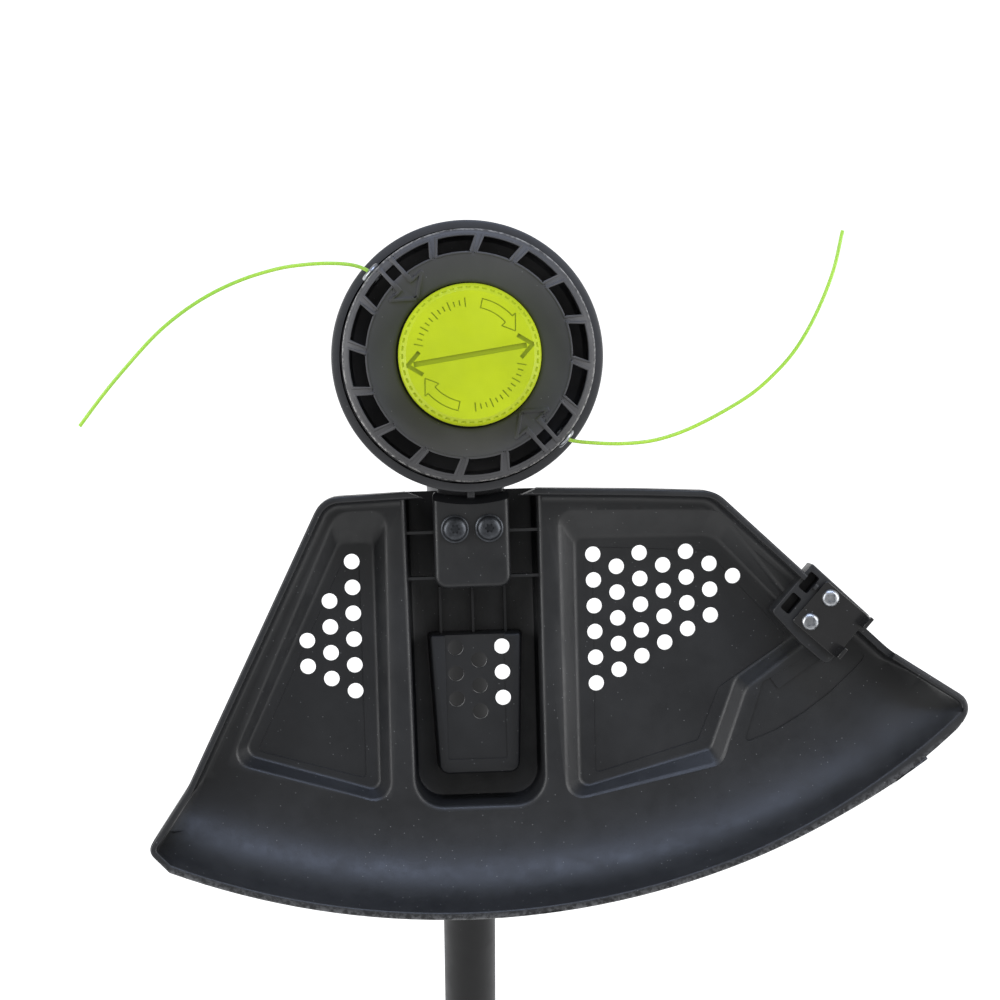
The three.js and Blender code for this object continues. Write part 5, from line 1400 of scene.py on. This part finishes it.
def buildRearHandle():
    values = rearValues
    body = handleSkin("rear_handle", 0, -826, -500)
    carve(body, handleSkin("hollow", values["wall"], -759, -547))
    carve(body, rod("shaftSeat", values["seat"], -520.5, -495, 64), rod("seatToGrip", 11, -570, -510, 48))
    dock = slab("dock", box(-39, -43, 39, 43, 6, 6), -835, -766.5)
    terminalWay = slab("terminalWay", box(-12.3, -6.3, 12.3, 6.3), -770, -750)
    triggerSlot = soften(slab("triggerSlot", box(-7.2, -45, 7.2, -10), -609, -549), 1, 3)
    lockSlot = soften(slab("lockSlot", box(-6.7, 10, 6.7, 40), -645, -593), 1, 3)
    latchSlot = slab("latchSlot", box(-12.6, 40, 12.6, 60), -812, -792)
    seam = handleSkin("seamOuter", -2, -826, -500)
    carve(body, dock, terminalWay, triggerSlot, lockSlot, latchSlot)
    # a groove tool round the middle plane, carved only from a spare outer skin that is then thrown away, and
    # cooling slots on both flanks
    groove = slab("groove", box(-0.45, -70, 0.45, 70), -840, -495)
    carve(groove, handleSkin("grooveFloor", 0.7, -826, -500))
    carve(seam, groove)
    bpy.data.objects.remove(seam)
    slots = []
    for i in range(6):
        z = -736 - values["ventPitch"] * i
        slots.append(soften(slab("slot", box(-60, -17 + i, 60, 17 - i, 1.2, 3), z - 1.4, z + 1.4), 0.5, 2))
    slots = joined("slots", slots)
    carve(slots, handleSkin("slotFloor", 1.4, -826, -500))
    carve(body, slots)
    for side, name in ((-1, "left"), (1, "right")):
        half = copyOf(body, "rear_handle_%s_shell" % name)
        keepWithin(half, slab("half", box(min(side * values["seam"], side * 60), -70,
                                          max(side * values["seam"], side * 60), 70), -840, -490))
        for y, z in values["screws"]:
            boss = rod("boss", 4.2, 2, values["screwSeat"], 24)
            weld(half, across(boss if side > 0 else turnAbout(boss, 180, "X"), y, z))
            carve(half, across(rod("hole", 1.9, -60, 60, 20), y, z),
                  across(rod("headHole", 3.7, -60, -values["screwSeat"], 32), y, z))
        soften(half, 0.45, 2, 50)
        finishPiece(half, inRow, "frame", housingNylon, ["rear_handle_" + name], 38)
    bpy.data.objects.remove(body)
    # the rubber over the grip, ribbed where the fingers close
    rows = handleSkin("rear_handle_grip", -0.7, values["gripTo"], values["gripFrom"])
    carve(rows, handleSkin("gripInner", -0.05, values["gripTo"] - 30, values["gripFrom"] + 20))
    triggerSide = slab("triggerSide", box(-8.6, -45, 8.6, -10), -612, -549)
    lockSide = slab("lockSide", box(-8.2, 10, 8.2, 40), -648, -580)
    carve(rows, triggerSide, lockSide)
    for i in range(11):
        z = -622 - 6 * i
        carve(rows, slab("ridge", box(-40, -40, 40, -8), z - 1.2, z + 1.2))
    for y, z in values["screws"]:
        carve(rows, across(rod("headHole", 3.9, -60, -10, 32), y, z))
    soften(rows, 0.3, 2, 40)
    finishPiece(rows, inRow, "frame", gripRubber, (), 38)


def buildHandleScrews():
    for number, (y, z) in enumerate(rearValues["screws"], 1):
        profile = [(0, -12), (1.1, -12), (1.5, -11), (1.5, 17.8), (3, 17.8), (3.2, 18), (3.2, 19),
                   (2.6, 19.8), (0, 20.2)]
        screw = screwHead("handle_screw_%d_plated" % number, profile, 1.8, 6, 1.2, 20.2)
        finishPiece(moveBy(turnAbout(screw, -90, "Y"), (0, y, z)), inRow, "frame", platedSteel,
                    ["handle_screw_%d" % number], 40)


# Trigger and lock-off: curved levers with finger ridges, each on its own pin.
leverValues = {
    "trigger": {"pivot": (-7, -562), "half": 6.5, "bore": 2.4, "body": "trigger",
                "side": [(-2, -556, 4), (-21, -556, 3), (-26, -568, 6), (-27, -584, 14), (-33, -600, 2),
                         (-24, -600, 3),
                         (-14, -582, 8), (-2, -568, 4)]},
    "lock_off_lever": {"pivot": (11, -640), "half": 6, "bore": 2.1, "body": "lock_off_lever",
                       "side": [(15, -644.2, 2), (16, -636, 2), (24, -626, 6), (28.5, -604, 6),
                                (24, -595, 3),
                                (17, -595, 2), (16, -626, 4), (7, -636, 2), (7, -644, 2)]},
}


def buildLevers():
    for node, values in leverValues.items():
        half, (y, z) = values["half"], values["pivot"]
        lever = slab(node + "_moulding", roundedRing(values["side"], 6), -half, half, "x")
        soften(lever, 1.4, 4, 40)
        carve(lever, across(rod("pinHole", values["bore"], -20, 20, 32), y, z))
        if node == "lock_off_lever":
            for i in range(5):
                place = -608 - 3.4 * i
                reach = 28.1 - 0.2 * i * i - 0.35 * i
                ridge = across(rod("ridge", 0.55, -4.4, 4.4, 12), reach, place)
                carve(lever, ridge)
        else:
            for i in range(4):
                carve(lever, across(rod("ridge", 0.55, -4.8, 4.8, 12), -26.9 - 0.25 * i, -574 - 3.6 * i))
        finishPiece(lever, inRow, values["body"], knobAcetal, [node], 38)


# The battery: a rounded pack with flank ribs, its charge button in front and the release button behind.
batteryValues = {"halfX": 38, "halfY": 42, "top": -768, "bottom": -898, "corner": 7, "ribs": 5,
                 "ribPitch": 9}


def buildBattery():
    halfX, halfY, top, bottom, corner, ribs, pitch = batteryValues.values()

    def ring(shrink, radius=corner):
        return box(-halfX + shrink, -halfY + shrink, halfX - shrink, halfY - shrink, radius, 8)

    pack = stacked("battery_shell", [(ring(4), bottom), (ring(2.6), bottom + 0.4),
                                     (ring(1.2), bottom + 1.4),
                                     (ring(0.3), bottom + 2.8), (ring(0), bottom + 4.5), (ring(0), top - 1),
                                     (ring(0.3), top - 0.3), (ring(1), top)])
    hollow = slab("hollow", ring(3, 4), bottom + 4, top - 4)
    mouth = soften(slab("mouth", box(-14, -8, 14, 8), top - 10, top + 2), 0.4, 2)
    buttonHole = soften(slab("buttonHole", box(-7.5, -halfY - 5, 7.5, -halfY + 5, 1.2, 4), bottom + 22,
                             bottom + 34), 0.4, 2)
    notch = slab("notch", box(-10, halfY - 1.6, 10, halfY + 5), -808, -798)
    seam = slab("seam", box(-60, -60, 60, 60), bottom + 12, bottom + 12.8)
    carve(seam, slab("seamFloor", ring(0.6), bottom, top))
    carve(pack, hollow, mouth, buttonHole, notch, seam)
    for side in (-1, 1):
        for i in range(ribs):
            z = bottom + 20 + pitch * i
            groove = slab("groove", box(side * halfX - 0.9, -26 + 2 * i, side * halfX + 0.9, 26 - 2 * i,
                                        0.4, 2), z, z + 3)
            carve(pack, groove)
    for i in range(4):
        # four charge windows beside the button
        carve(pack, slab("window", box(-6 + 3.4 * i, -halfY - 2, -4.2 + 3.4 * i, -halfY + 0.5), bottom + 38,
                         bottom + 42))
    soften(pack, 0.3, 2, 45)
    finishPiece(pack, inRow, "battery", housingNylon, ["battery_housing"], 38)


def buildButtons():
    charge = slab("charge_button_cap", box(-7, -42.6, 7, -38, 1, 4), -875.5, -864.5)
    soften(charge, 0.5, 3, 40)
    carve(charge, moveBy(alongY(turned("dish", [(0, -44), (3.4, -44), (2.6, -42.1), (0, -42)], 32)),
                         (0, 0, -870)))
    finishPiece(charge, inRow, "charge_button", knobAcetal, ["charge_button"], 38)
    release = slab("release_button_cap", box(-12, 44.2, 12, 54, 2, 5), -811.4, -792.6)
    soften(release, 1.2, 4, 40)
    for i in range(4):
        z = -808 + 4 * i
        carve(release, slab("grip", box(-8.5, 53.2, 8.5, 56), z, z + 1.4))
    finishPiece(release, inRow, "release_button", knobAcetal, ["release_button"], 38)


buildShaft()
buildLoopHandle()
buildClampBolts()
buildClampKnob()
buildStrap()
print("shaft, loop handle and strap ring built")
buildRearHandle()
buildHandleScrews()
buildLevers()
print("rear handle built")
buildBattery()
buildButtons()
print("battery built")

# The pieces inside stay as the frame has them and only take their materials.
insideMaterials = {
    "spindle_nut": platedSteel, "feed_sleeve": headNylon, "bump_spring": platedSteel,
    "spool": guardPolypropylene,
    "wound_line": lineNylon, "motor_base_plate": housingNylon, "base_plate_screw_1": platedSteel,
    "base_plate_screw_2": platedSteel, "base_plate_screw_3": platedSteel, "motor_mount": castAluminium,
    "stator_core": stackedSteel, "stator_windings": windingCopper, "rotor_bell": platedSteel,
    "rotor_magnets": platedMagnet, "spindle": platedSteel, "front_bearing": platedSteel,
    "rear_bearing": platedSteel, "motor_cable": cableSheath, "trigger_pin": platedSteel,
    "lock_off_pin": platedSteel, "trigger_switch": cableSheath, "controller_board": boardEpoxy,
    "battery_terminals": windingCopper, "battery_cells": cellSleeve,
}
for node, material in insideMaterials.items():
    piece = frame["nodes"][node]
    piece.data.materials.clear()
    piece.data.materials.append(material)
print("inner pieces painted")
